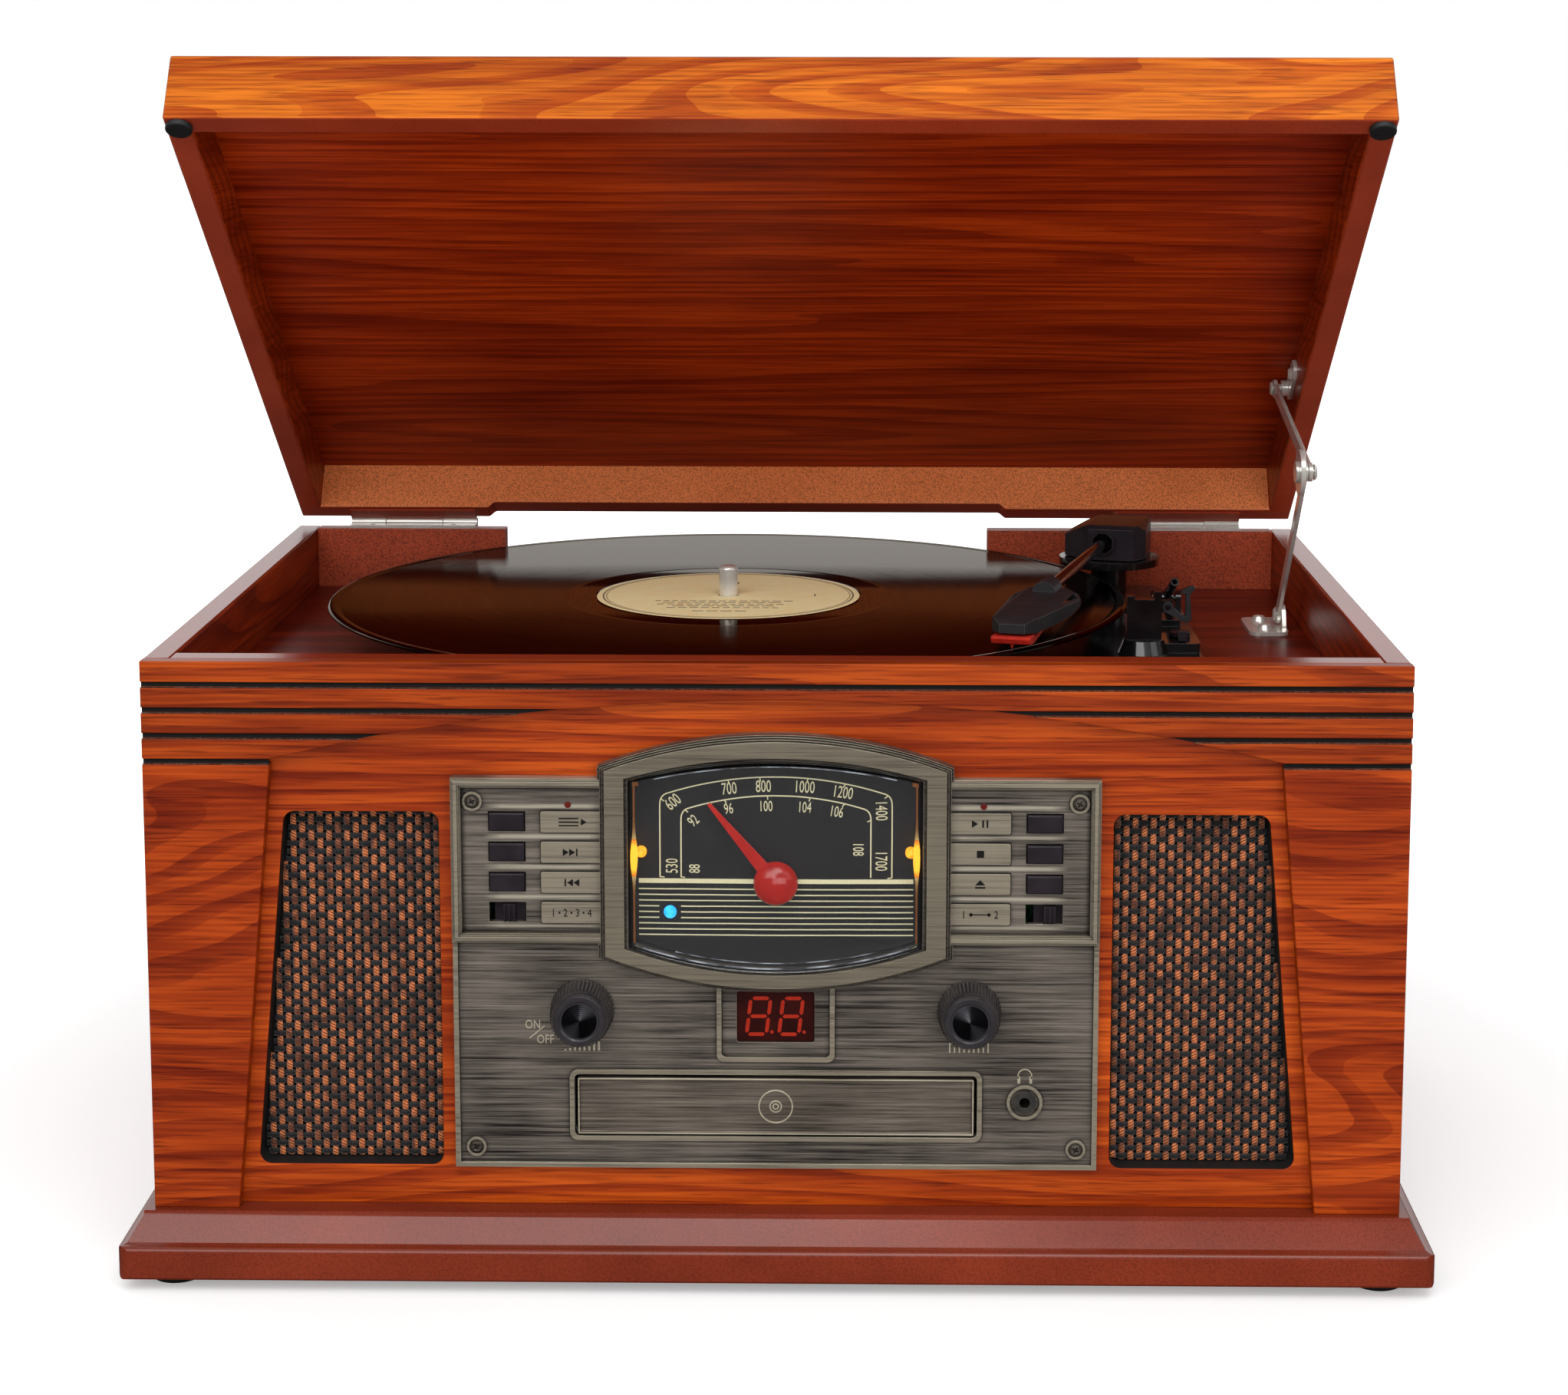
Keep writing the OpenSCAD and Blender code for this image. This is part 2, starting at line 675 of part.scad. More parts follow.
z_belt = z_platter - platter_rim + 1;
belt_t = 0.8;
belt_h = 4;

module motor_pulley() {
    color(nickel) at_spindle() translate([motor_at[0], motor_at[1], z_belt - 0.6]) rotate_extrude() polygon([
        [1 + run, 0], [pulley_r + 0.8, 0], [pulley_r, 0.6], [pulley_r, belt_h + 0.3],
        [1 + run, belt_h + 0.3]]);
}

module belt_loop(grow) {
    hull() {
        circle(drive_r + grow, $fn = 120);
        translate(motor_at) circle(pulley_r + grow);
    }
}

module drive_belt() {
    color(black) at_spindle() translate([0, 0, z_belt]) linear_extrude(belt_h - 0.4)
        difference() { belt_loop(0.3 + belt_t); belt_loop(0.3); }
}

module speed_lever() {
    color(black) placed() translate([speed_at[0], speed_at[1], z_pad]) {
        translate([0, 0, -3]) cylinder(r = 2, h = 3.4);
        translate([0, 0, 0.3]) cylinder(r = 4, h = 1.6);
        translate([-1.5, -11, 0.3]) cube([3, 10, 1.6]);
        translate([-1.8, -11, 1.5]) cube([3.6, 3, 2.6]);
    }
}

// ---- Tonearm ----

axle_r = 1.5;
house_x = [-17.5, 16];
house_y = [-14, 21];
z_house = z_flange + flange_t + 0.3;
axle_half = 13.5;

module tonearm_turret() {
    slot_half = 5.5;
    collar_r = 5.2;
    color(black) at_arm() difference() {
        union() {
            intersection() {
                translate([0, 0, z_house]) linear_extrude(house_h) polygon([
                    [house_x[0], 4], [house_x[0], -4], [-6.5, house_y[0]], [12, house_y[0]], [house_x[1], -6],
                    [13.5, house_y[1]], [-12, house_y[1]], [house_x[0], 12]]);
                translate([0, house_y[1] + 1, z_house]) rotate([90, 0, 0])
                    linear_extrude(house_y[1] - house_y[0] + 2) polygon([
                        [house_x[0], -1], [house_x[1], -1], [house_x[1], house_h - 2.5],
                        [house_x[1] - 2.5, house_h], [-7, house_h], [house_x[0], house_h - 5.3]]);
                translate([-20, 0, z_house]) rotate([90, 0, 90]) linear_extrude(40) polygon([
                    [house_y[0] - 1, -1], [house_y[1] + 1, -1], [house_y[1] + 1, house_h - 4],
                    [house_y[1] - 5, house_h], [house_y[0] + 1.5, house_h], [house_y[0] - 1, house_h - 2.5]]);
            }
            translate([0, house_y[0] + 1, z_tube]) rotate([90, 22.5, 0]) cylinder(r = collar_r, h = 3, $fn = 8);
            translate([0, 0, z_deck - 8]) cylinder(r = post_r, h = z_house - z_deck + 8.5);
        }
        translate([-slot_half, -10.5, z_house + 1.8]) cube([2 * slot_half, 24.5, house_h - 3.3]);
        translate([0, 0, z_tube]) rotate([90, 22.5, 0]) cylinder(r = collar_r - 1.1, h = 20, $fn = 8);
        translate([-axle_half - 0.1, 0, z_tube]) rotate([0, 90, 0])
            cylinder(r = axle_r + run, h = 2 * axle_half + 0.2);
    }
}

shell_y = arm_l - shell_l;
shell_plug = 8;

module tonearm_tube() {
    color(black) at_arm() translate([0, 0, z_tube]) {
        rotate([90, 0, 0]) cylinder(r = tube_r, h = shell_y + shell_plug);
        translate([0, 8, 0]) rotate([90, 0, 0]) cylinder(r = 3.2, h = 17);
        translate([-axle_half, 0, 0]) rotate([0, 90, 0]) cylinder(r = axle_r, h = 2 * axle_half);
        for (side = [-1, 1]) translate([side * 4.1, 0, 0]) rotate([0, 90, 0])
            cylinder(r = 2.6, h = 2, center = true);
    }
}

// Plan of the headshell, drawn smaller by less
module shell_plan(less = 0) {
    offset(delta = -less) polygon([
        [-13, -shell_y - 9], [-11, -shell_y - 3.4], [11, -shell_y - 3.4], [13, -shell_y - 9],
        [8, 4 - arm_l], [4.5, -arm_l - 1], [-4.5, -arm_l - 1], [-8, 4 - arm_l]]);
}

module headshell() {
    wall = 1.4;
    top = z_tube + 0.8;
    color(black) at_arm() difference() {
        union() {
            intersection() {
                translate([0, 0, top - 6.6]) linear_extrude(6.6) shell_plan();
                translate([0, 0, top]) rotate([90, 0, 0]) linear_extrude(arm_l + 10)
                    polygon([[-14, -7], [-14, -3.4], [-6.5, 0], [6.5, 0], [14, -3.4], [14, -7]]);
                translate([-20, 0, top]) rotate([90, 0, 90]) linear_extrude(40) polygon([
                    [-shell_y, 0], [-shell_y, -3.6], [-shell_y - 24, -7.6], [-arm_l - 2, -5.2],
                    [-arm_l - 2, -2.4], [5 - arm_l, 0]]);
            }
            translate([0, -shell_y, z_tube]) rotate([90, 0, 0]) cylinder(r = 4.4, h = 13);
        }
        difference() {
            translate([0, 0, top - 8]) linear_extrude(8 - wall) shell_plan(wall);
            translate([0, 1 - shell_y, z_tube]) rotate([90, 0, 0]) cylinder(r = 4.4, h = 14);
            translate([-20, 0, top]) rotate([90, 0, 90]) linear_extrude(40) polygon([
                [-shell_y, 0], [-shell_y, -wall - 0.1], [9 - arm_l, -wall - 0.1],
                [-arm_l - 2, -4.4], [-arm_l - 2, 0]]);
        }
        translate([0, 1 - shell_y, z_tube]) rotate([90, 0, 0]) cylinder(r = tube_r + run, h = shell_plug + 1);
    }
}

module cartridge() {
    stylus_z = z_record + 0.1;
    front = -arm_l - 3;
    seat = z_tube - 0.7;
    color("firebrick") at_arm() {
        translate([-5.2, -shell_y - 50, z_tube - 7]) cube([10.4, 32, seat - z_tube + 7]);
        intersection() {
            translate([0, 0, stylus_z]) linear_extrude(20) polygon([
                [-7, front], [7, front], [6, front + 30], [-6, front + 30]]);
            translate([-20, 0, 0]) rotate([90, 0, 90]) linear_extrude(40) polygon([
                [front - 0.5, stylus_z + 4.4], [front + 1, stylus_z + 1.9], [5 - arm_l, stylus_z + 1.2],
                [front + 30, stylus_z + 1.9], [front + 30, z_tube - 6.8], [8 - arm_l, z_tube - 6.8],
                [6 - arm_l, z_tube - 5.4], [front - 0.5, z_tube - 5.4]]);
        }
        translate([0, -arm_l, stylus_z]) cylinder(r1 = 0.25, r2 = 0.9, h = 2);
    }
}

module cue_lever() {
    color(black) placed() translate(cue_at) {
        rotate([0, 90, 0]) cylinder(r = cue_pin, h = 11, center = true);
        rotate([0, 90, 0]) cylinder(r = 2.9, h = 5.4, center = true);
        rotate([55, 0, 0]) rotate([0, 8, 0]) difference() {
            cylinder(r1 = 1.4, r2 = 1.75, h = 15);
            translate([0, 0, 10]) cylinder(r = 1.05, h = 6);
        }
    }
}

module arm_clip() {
    color(black) at_rest_post() translate(clip_at) rotate([90, 0, 0]) translate([0, 0, -1.5]) linear_extrude(3)
        difference() {
            union() {
                circle(2.1);
                polygon([[-0.6, 2], [-1.2, -1.7], [6.9, -5.9], [8.9, -4.6], [8.1, 4.6], [10.2, 7.2], [9.4, 8],
                    [7.2, 7.4], [4.9, 6], [5.3, 4.9], [6.6, 5.2], [6.7, -2.6], [5.9, -3.3]]);
            }
            circle(clip_pin + run);
        }
}

// ---- Speakers and grilles ----

module speaker_grilles() {
    y_cloth = y_board + cloth_deep;
    color([0.35, 0.2, 0.14]) both_sides() {
        slab(y_cloth, y_inner) grille_outline(0.3);
        slab(y_inner, y_inner + 1.5) grille_outline(-3.5);
    }
}

module speakers() {
    depth = 32;
    x = grille_in + (grille_w_top + grille_w_bot) / 4 - 1;
    z = z_cab + grille_z + grille_h / 2 - 4;
    y = y_inner + 1.5;
    color("dimgray") placed() both_sides() translate([x, y, z]) rotate([-90, 0, 0]) rotate_extrude($fn = 96)
        polygon([[0, 8], [10, 12], [driver_r - 8, 2], [driver_r - 5, 0], [driver_r, 0], [driver_r, 3],
                 [driver_r - 4, 3], [20, depth - 14], [22, depth - 12], [22, depth], [0, depth]]);
}

// ---- Control panel ----

// Outline of the dial's opening, grown by g
module dial_outline(g) {
    w = dial_w + 2 * g;
    up = dial_rise + g * 0.45;
    down = dial_drop + g * 0.3;
    top_r = chord_r(w, up);
    low_r = chord_r(w, down);
    top = z_dial + dial_h;
    half = asin(w / 2 / top_r);
    half_low = asin(w / 2 / low_r);
    polygon(concat(
        arc([0, top + g * 0.4 + up - top_r], top_r, 90 + half, 90 - half, 24),
        arc([0, z_dial - g * 0.4 - down + low_r], low_r, half_low - 90, -90 - half_low, 24)));
}

tray_hole = [tray_w / 2 + 1, z_panel + tray_z - 0.6, z_panel + tray_z + tray_h + 1.3];
window_c = z_panel + window_z;
lamp_z = z_rows + 5.7;

// Plan of the raised beads and label plates on the control panel
module panel_beads() {
    x_out = panel_w / 2;
    z_high = z_panel + panel_h;
    difference() {
        union() {
            difference() {
                plate([-x_out, z_panel], [x_out, z_high]);
                plate([bead_w - x_out, z_panel + bead_w], [x_out - bead_w, z_high - bead_w]);
            }
            difference() {
                plate([-window_frame / 2, window_c - 15.4], [window_frame / 2, z_dial], 2.4);
                plate([bead_w - window_frame / 2, window_c - 15.4 + bead_w],
                      [window_frame / 2 - bead_w, z_dial], 1.6);
            }
        }
        dial_outline(bezel_b);
        both_sides() plate([x_out - frame_w, z_high - frame_h], [x_out, z_high]);
    }
    difference() {
        plate([-tray_hole[0] - bead_w, tray_hole[1] - bead_w],
              [tray_hole[0] + bead_w, tray_hole[2] + bead_w], 3);
        plate([-tray_hole[0], tray_hole[1]], [tray_hole[0], tray_hole[2]], 1.6);
    }
    both_sides() for (z = [z_panel + screw_in, z_high - screw_in - 1.2])
        translate([x_out - screw_in, z]) difference() { circle(3.3); circle(2.5); }
    translate([jack_x, z_panel + jack_z]) difference() { circle(6); circle(5); }
    both_sides() for (i = [0:3]) translate([label_x, z_rows - i * button_pitch])
        plate([-label_w / 2, -label_h / 2], [label_w / 2, label_h / 2], 0.6);
}

module control_panel() {
    z_high = z_panel + panel_h;
    x_out = panel_w / 2;
    color(pewter) difference() {
        union() {
            slab(y_panel, y_board) {
                plate([-x_out, z_panel], [x_out, z_high]);
                dial_outline(bezel_b);
            }
            slab(y_panel - bead_t, y_panel) panel_beads();
            for (i = [0:2]) slab(y_panel - frame_t + (2 - i) * 0.5, y_panel) both_sides() let (e = i * 0.5)
                difference() {
                    plate([x_out - frame_w + e, z_high - frame_h + e], [x_out - e, z_high - e]);
                    plate([x_out - frame_w + frame_b - e, z_high - frame_h + frame_b - e],
                          [x_out - frame_b + e, z_high - frame_b + e]);
                }
        }
        slab(y_panel - 1, y_board + 1) {
            dial_outline(0.3);
            plate([-window_w / 2, window_c - window_h / 2], [window_w / 2, window_c + window_h / 2], 0.8);
            plate([-tray_hole[0], tray_hole[1]], [tray_hole[0], tray_hole[2]], 1.6);
            both_sides() for (i = [0:3]) translate([button_x, z_rows - i * button_pitch])
                square([button_w + 2 * gap, button_h + 2 * gap], center = true);
            both_sides() translate([label_x + 1, lamp_z]) circle(1.1);
            both_sides() translate([knob_x, z_panel + knob_z]) circle(shaft_r + 1);
            translate([jack_x, z_panel + jack_z]) circle(3.9);
            both_sides() for (z = [z_panel + screw_in, z_high - screw_in - 1.2])
                translate([x_out - screw_in, z]) circle(1.1);
        }
    }
}

module dial_bezel() {
    z_high = z_panel + panel_h;
    color(pewter) difference() {
        union() for (i = [0:3]) slab(y_bezel + i * 0.7, y_panel) dial_outline(bezel_b - 2.4 + i * 0.8);
        slab(y_bezel - 1, y_bezel + 0.8) dial_outline(1.5);
        slab(y_bezel - 1, y_panel + 1) dial_outline(0.3);
        slab(y_panel - frame_t, y_panel + 1) both_sides()
            plate([panel_w / 2 - frame_w, z_high - frame_h], [panel_w / 2, z_high]);
    }
}

y_main = y_inner + 10;
blue_at = [-35, -10.7];
amber_at = [dial_w / 2 - 4, 9.8];

module dial_lens() {
    front = y_bezel - 0.6;
    dome_r = 700;
    color([0.8, 0.85, 0.9, 0.35]) {
        difference() {
            slab(front, y_dial_face) dial_outline(0);
            slab(front + lens_t, y_dial_face + 1) dial_outline(-lens_t);
        }
        intersection() {
            slab(front - lens_dome, front) dial_outline(-0.8);
            placed() translate([0, front, z_dial + dial_h / 2 - 1]) rotate([90, 0, 0]) rotate_extrude($fn = 120)
                polygon(concat([[0, 0]], [for (r = [56 : -4 : 0]) [r, lens_dome - r * r / 2 / dome_r]]));
        }
    }
}

module dial_face() {
    lug = dial_w / 2 - 8;
    color(black) difference() {
        union() {
            slab(y_dial_face, y_dial_face + 1.5) dial_outline(1.5);
            both_sides() slab(y_dial_face + 1.5, y_main) plate([lug, z_hub - 4], [lug + 4, z_hub + 4]);
        }
        slab(y_dial_face - 1, y_dial_face + 3) {
            translate([0, z_hub]) circle(1.5 + run);
            translate([blue_at[0], z_hub + blue_at[1]]) circle(2.15);
            both_sides() translate([amber_at[0], z_hub + amber_at[1]]) circle(1.85);
        }
    }
}

module indicator_lamps() {
    color("gold") placed() {
        both_sides() translate([amber_at[0], y_main, z_hub + amber_at[1]]) rotate([90, 0, 0]) {
            cylinder(r = 1.8, h = y_main - y_dial_face + 1.2);
            translate([0, 0, y_main - y_dial_face + 1.2]) sphere(1.8);
        }
        translate([blue_at[0], y_main, z_hub + blue_at[1]]) rotate([90, 0, 0])
            cylinder(r = 2.1, h = y_main - y_dial_face + 0.6);
        both_sides() translate([label_x + 1, y_main, lamp_z]) rotate([90, 0, 0])
            cylinder(r = 1.05, h = y_main - y_panel + 0.4);
    }
}

// The pointer, its hub, axle and the cord drum behind the dial turn as one
module dial_pointer() {
    root = y_dial_face - 2;
    color("crimson") placed() translate([0, 0, z_hub]) {
        translate([0, root, 0]) rotate([90, 0, 0]) rotate_extrude() polygon(concat(
            [[0, 0], [hub_r - 0.4, 0]], [for (a = [0:9:90]) [hub_r * cos(a), 1 + hub_dome * sin(a)]]));
        translate([0, root, 0]) rotate([90, -pointer_a, 0]) linear_extrude(1)
            polygon([[-2.6, 0], [2.6, 0], [0.6, pointer_l], [-0.6, pointer_l]]);
        translate([0, y_inner + 4, 0]) rotate([90, 0, 0]) {
            cylinder(r = 1.5, h = y_inner + 4 - root);
            cylinder(r = 16, h = 4);
        }
    }
}

module display_module() {
    half = [window_w / 2, window_h / 2];
    color([0.25, 0.03, 0.02]) placed() translate([0, 0, window_c]) {
        translate([0, y_board, 0]) rotate([90, 0, 0]) linear_extrude(panel_t - 0.8)
            plate([0.1 - half[0], 0.1 - half[1]], [half[0] - 0.1, half[1] - 0.1], 0.7);
        block([-half[0] - 1.5, y_board, -half[1] - 1], [half[0] + 1.5, y_main, half[1] + 1]);
    }
}

// A push button: the cap in front of the panel and the flange that holds it behind
module push_button(side, row) {
    flange = 1.2;
    color(black) placed() translate([side * button_x, y_board + 2.4, z_rows - row * button_pitch])
    rotate([90, 0, 0]) {
        linear_extrude(2.4 + panel_t + button_travel - 0.3)
            square([button_w, button_h], center = true);
        linear_extrude(2.4 + panel_t + button_travel)
            square([button_w - 0.6, button_h - 0.6], center = true);
        linear_extrude(2) square([button_w + 2 * flange, button_h + 2 * flange], center = true);
    }
}

module button_program() push_button(-1, 0);
module button_next() push_button(-1, 1);
module button_previous() push_button(-1, 2);
module button_play() push_button(1, 0);
module button_stop() push_button(1, 1);
module button_eject() push_button(1, 2);

// A slide switch's knob, standing off the middle of its slot
module slide_knob(side, off) {
    color(black) placed() translate([side * button_x + off, y_board + 2, z_rows - 3 * button_pitch])
    rotate([90, 0, 0]) {
        linear_extrude(2 + panel_t + 0.4) square([slider_w, button_h - 0.4], center = true);
        for (x = [-1, 0, 1]) translate([x * (slider_w / 2 - 0.4), 0, 0])
            linear_extrude(2 + panel_t + 1.2) square([0.8, button_h - 0.4], center = true);
        linear_extrude(1.6) square([10.4, button_h + 2.4], center = true);
    }
}

module function_switch() slide_knob(-1, 0.6);
module band_switch() slide_knob(1, 1.8);

module knob(side) {
    ribs = 48;
    color(black) placed() translate([side * knob_x, y_panel - 0.6, z_panel + knob_z]) rotate([90, 0, 0])
    difference() {
        union() {
            cylinder(r1 = knob_r, r2 = knob_r - 0.9, h = knob_l - 3.4);
            translate([0, 0, knob_l - 3.4]) cylinder(r1 = knob_r - 1.2, r2 = knob_r - 1.8, h = 2.2);
            translate([0, 0, knob_l - 1.2]) cylinder(r1 = knob_r - 1.8, r2 = knob_r - 2.6, h = 1.2);
        }
        for (i = [0:ribs - 1]) rotate([0, 0, i * 360 / ribs]) translate([knob_r, 0, -1])
            rotate([0, -5.4, 0]) cylinder(r = 0.45, h = knob_l - 2, $fn = 6);
        translate([0, 0, knob_l - 0.5]) cylinder(r1 = knob_r - 4.4, r2 = knob_r - 3.6, h = 1);
        translate([0, 0, -1]) cylinder(r = shaft_r - 0.6 + run, h = knob_l - 3);
    }
}

module volume_knob() knob(-1);
module tuning_knob() knob(1);

// ---- Inside the cabinet ----

module main_board() {
    low = z_panel + tray_z + tray_h + 12;
    high = z_deck - deck_t - 12;
    back_of_buttons = y_board + 2.4 + button_travel + 0.4;
    color(circuit) {
        slab(y_main, y_main + 1.6) plate([3 - panel_w / 2, low], [panel_w / 2 - 3, high]);
        for (side = [-1, 1]) {
            slab(back_of_buttons, y_main) plate([side * button_x - 4, z_rows - 2.6 * button_pitch],
                                                [side * button_x + 4, z_rows + 0.4 * button_pitch]);
            placed() translate([side * knob_x, y_main, z_panel + knob_z]) rotate([90, 0, 0]) {
                cylinder(r = 8, h = y_main - y_board);
                cylinder(r = shaft_r - 0.6, h = y_main - y_panel + knob_l - 6);
            }
        }
        placed() {
            for (x = [-60 : 40 : 60]) translate([x, y_main + 1.6, high - 24])
                rotate([-90, 0, 0]) cylinder(r = 5, h = 14);
            both_sides() block([panel_w / 2 - 20, y_main + 1.6, z_cab],
                               [panel_w / 2 - 14, y_main + 5, high - 4]);
            block([-6, y_main + 1.6, z_panel + 38], [6, y_main + 5, high - 4]);
        }
    }
}

module transformer() {
    foot = [core_w * 0.68, core_w * 0.07];
    deep = core_w * 0.9;
    color("gray") placed() translate([2 * core_w / 1.47 - in_x, cab_d - board_t - deep * 1.4, z_cab]) {
        block([-foot[0], -foot[1], 0], [foot[0], deep + foot[1], 2]);
        block([-core_w / 2, 0, 2], [core_w / 2, deep, core_w]);
        block([-core_w * 0.27, -deep * 0.2, core_w * 0.22], [core_w * 0.27, deep * 1.2, core_w * 0.82]);
    }
}

module jacks() {
    color(nickel) {
        placed() translate([jack_x, 0, z_panel + jack_z]) rotate([-90, 0, 0]) difference() {
            union() {
                translate([0, 0, y_panel - bead_t]) cylinder(r = 3.8, h = panel_t + bead_t);
                translate([-4.5, -4.5, y_board]) cube([9, 9, 14]);
            }
            translate([0, 0, y_panel - 2]) cylinder(r = jack_r, h = 16);
        }
        placed() for (x = [-1, 1]) translate([x * 9, cab_d + cover_t, z_cab + 34]) rotate([-90, 0, 0])
        difference() {
            union() {
                translate([0, 0, -6]) cylinder(r = 4.1, h = 13);
                cylinder(r = 6, h = 1.5);
            }
            translate([0, 0, -1]) cylinder(r = 1.6, h = 10);
        }
        placed() translate([-110, cab_d + cover_t, z_cab + 34]) rotate([-90, 0, 0]) difference() {
            union() {
                translate([0, 0, -6]) cylinder(r = 4.9, h = 9);
                cylinder(r = 7, h = 3);
            }
            translate([0, 0, -7]) cylinder(r = 3.2, h = 12);
        }
    }
}

// ---- Disc tray ----

well_wall = 2.5;

module disc_tray() {
    x = tray_w / 2;
    z = z_panel + tray_z;
    bed = z + 3;
    rear = y_board + tray_l;
    color(pewter) {
        slab(y_panel, y_board) plate([-x, z], [x, z + tray_h], 0.8);
        slab(y_panel - 0.5, y_panel) difference() {
            plate([-x, z], [x, z + tray_h], 0.8);
            plate([0.7 - x, z + 0.7], [x - 0.7, z + tray_h - 0.7], 0.4);
        }
        placed() difference() {
            block([2.4 - x, y_board, bed], [x - 2.4, rear, bed + 8]);
            translate([0, y_board + disc_r + 8, bed + 5]) cylinder(r = disc_r + 0.8, h = 6, $fn = 96);
            translate([0, y_board + disc_r + 8, bed + 2.5]) cylinder(r = 22, h = 6);
            block([-21, y_board + disc_r + 8, bed - 1], [21, rear + 1, bed + 9]);
        }
    }
}

module disc_mechanism() {
    x = tray_w / 2 - 2.4 + gap;
    z = z_panel + tray_z + 3 - gap;
    y0 = y_inner + 2;
    y1 = y_board + tray_l + 6;
    color("dimgray") placed() difference() {
        block([-x - 4, y0, z - 5], [x + 4, y1, z + 22]);
        block([-x, y0 - 1, z], [x, y1 - 3, z + 18]);
        block([8 - x, y0 + 20, z - 6], [x - 8, y1 - 20, z + 1]);
    }
    color("dimgray") placed() {
        block([-x - 4, y0 + 10, z_cab], [-x, y1 - 10, z - 5]);
        block([x, y0 + 10, z_cab], [x + 4, y1 - 10, z - 5]);
    }
}

// ---- Lid, shown standing open ----

// Draws in the closed lid's place and turns it open about the hinge line
module opened() {
    placed() translate([0, hinge_y, hinge_z]) rotate([-lid_open, 0, 0])
        translate([0, -hinge_y, -hinge_z]) children();
}

lid_x = (cab_w - lid_less) / 2;
z_rim = z_top + lid_gap;
lid_front = cab_d - lid_d;

module lid_frame() {
    ramp = 2.5;
    cut = notch_w / 2 + 5;
    color(mahogany) opened() difference() {
        block([-lid_x, lid_front, z_rim], [lid_x, cab_d, z_rim + lid_h]);
        block([board_t - lid_x, lid_front + board_t, z_rim - 1],
              [lid_x - board_t, cab_d - board_t, z_rim + lid_h + 1]);
        translate([notch_x, cab_d + 1, z_rim]) rotate([90, 0, 0]) linear_extrude(board_t + 2)
            polygon([[-cut - ramp, -1], [-cut - ramp, 0], [-cut, ramp],
                     [cut, ramp], [cut + ramp, 0], [cut + ramp, -1]]);
    }
}

module lid_top() {
    color(cherry) opened() block(
        [board_t - lid_x, lid_front + board_t, z_rim + lid_h - lid_top_t],
        [lid_x - board_t, cab_d - board_t, z_rim + lid_h]);
}

module lid_bumpers() {
    bump_r = 4.6;
    color(black) opened() both_sides()
    translate([lid_x - bump_r - 0.3, lid_front + bump_r + 0.3, z_rim - lid_gap + 0.2]) {
        cylinder(r1 = bump_r - 0.5, r2 = bump_r, h = 0.5);
        translate([0, 0, 0.5]) cylinder(r = bump_r, h = lid_gap - 0.7);
    }
}

// ---- Hinges: three knuckles, the middle one on the lid ----

leaf_t = 1;
leaf_w = 9;
knuckle_mid = 0.46;

// Knuckle between two shares of the hinge's length, with the pin's hole
module knuckle(from, to, hole) {
    translate([hinge_l * (from - 0.5), 0, 0]) rotate([0, 90, 0]) difference() {
        cylinder(r = barrel_r, h = hinge_l * (to - from));
        if (hole > 0) translate([0, 0, -1]) cylinder(r = hole, h = hinge_l + 2);
    }
}

module cabinet_hinge_leaves() {
    k = (1 - knuckle_mid) / 2;
    pin_r = 1;
    color(nickel) placed() both_sides() translate([hinge_x, hinge_y, hinge_z]) {
        knuckle(0, k, 0);
        knuckle(1 - k, 1, 0);
        translate([-hinge_l * knuckle_mid / 2 - 1, 0, 0]) rotate([0, 90, 0])
            cylinder(r = pin_r, h = hinge_l * knuckle_mid + 2);
        difference() {
            translate([-hinge_l / 2, -leaf_w - 1, -lid_gap / 2]) cube([hinge_l, leaf_w + 1, leaf_t]);
            translate([-hinge_l * knuckle_mid / 2 - 0.3, -barrel_r - 0.5, -barrel_r])
                cube([hinge_l * knuckle_mid + 0.6, barrel_r + 1, 2 * barrel_r]);
            for (x = [-1, 1]) translate([x * hinge_l * 0.32, -5.5, -barrel_r]) cylinder(r = 1.2, h = 4);
        }
    }
}

module lid_hinge_leaves() {
    k = (1 - knuckle_mid) / 2 + 0.006;
    pin_r = 1;
    color(nickel) opened() both_sides() translate([hinge_x, hinge_y, hinge_z]) {
        knuckle(k, 1 - k, pin_r + run);
        difference() {
            translate([-hinge_l / 2, -leaf_w - 1, lid_gap / 2 - leaf_t]) cube([hinge_l, leaf_w + 1, leaf_t]);
            for (x = [-1, 1]) translate([x * hinge_l * (1 - k) / 2 + x * 8.5, -0.2, 0])
                cube([17 + hinge_l * k, 2 * barrel_r + 0.8, 4 * barrel_r], center = true);
            rotate([0, 90, 0]) cylinder(r = pin_r + run, h = 2 * hinge_l, center = true);
        }
    }
}

// ---- Lid stay ----

// Flat arm between two points in the Y-Z plane, from x0 to x0 + arm_plate
module stay_arm(p, q, x0, hole_p, hole_q) {
    length = norm(q - p);
    placed() translate([x0, p[0], p[1]]) rotate([atan2(q[1] - p[1], q[0] - p[0]), 0, 0])
        rotate([90, 0, 90]) linear_extrude(arm_plate) difference() {
            union() {
                circle(stay_w / 2);
                translate([length, 0]) circle(stay_w / 2);
                translate([0, 1 - stay_w / 2]) square([length, stay_w - 2]);
            }
            circle(hole_p);
            if (hole_q > 0) translate([length, 0]) circle(hole_q);
        }
}

// A rivet along X at a point in the Y-Z plane, with a round head at its low end
module rivet(p, x0, x1, r, head) {
    placed() translate([x0, p[0], p[1]]) rotate([0, 90, 0]) {
        cylinder(r = r, h = x1 - x0);
        translate([0, 0, -1]) cylinder(r1 = head * 0.7, r2 = head, h = 1);
    }
}

lid_pivot = [hinge_y + stay_pivot[0], hinge_z + stay_pivot[1]];
rivet_r = 1.8;
layer = arm_plate + 0.3;

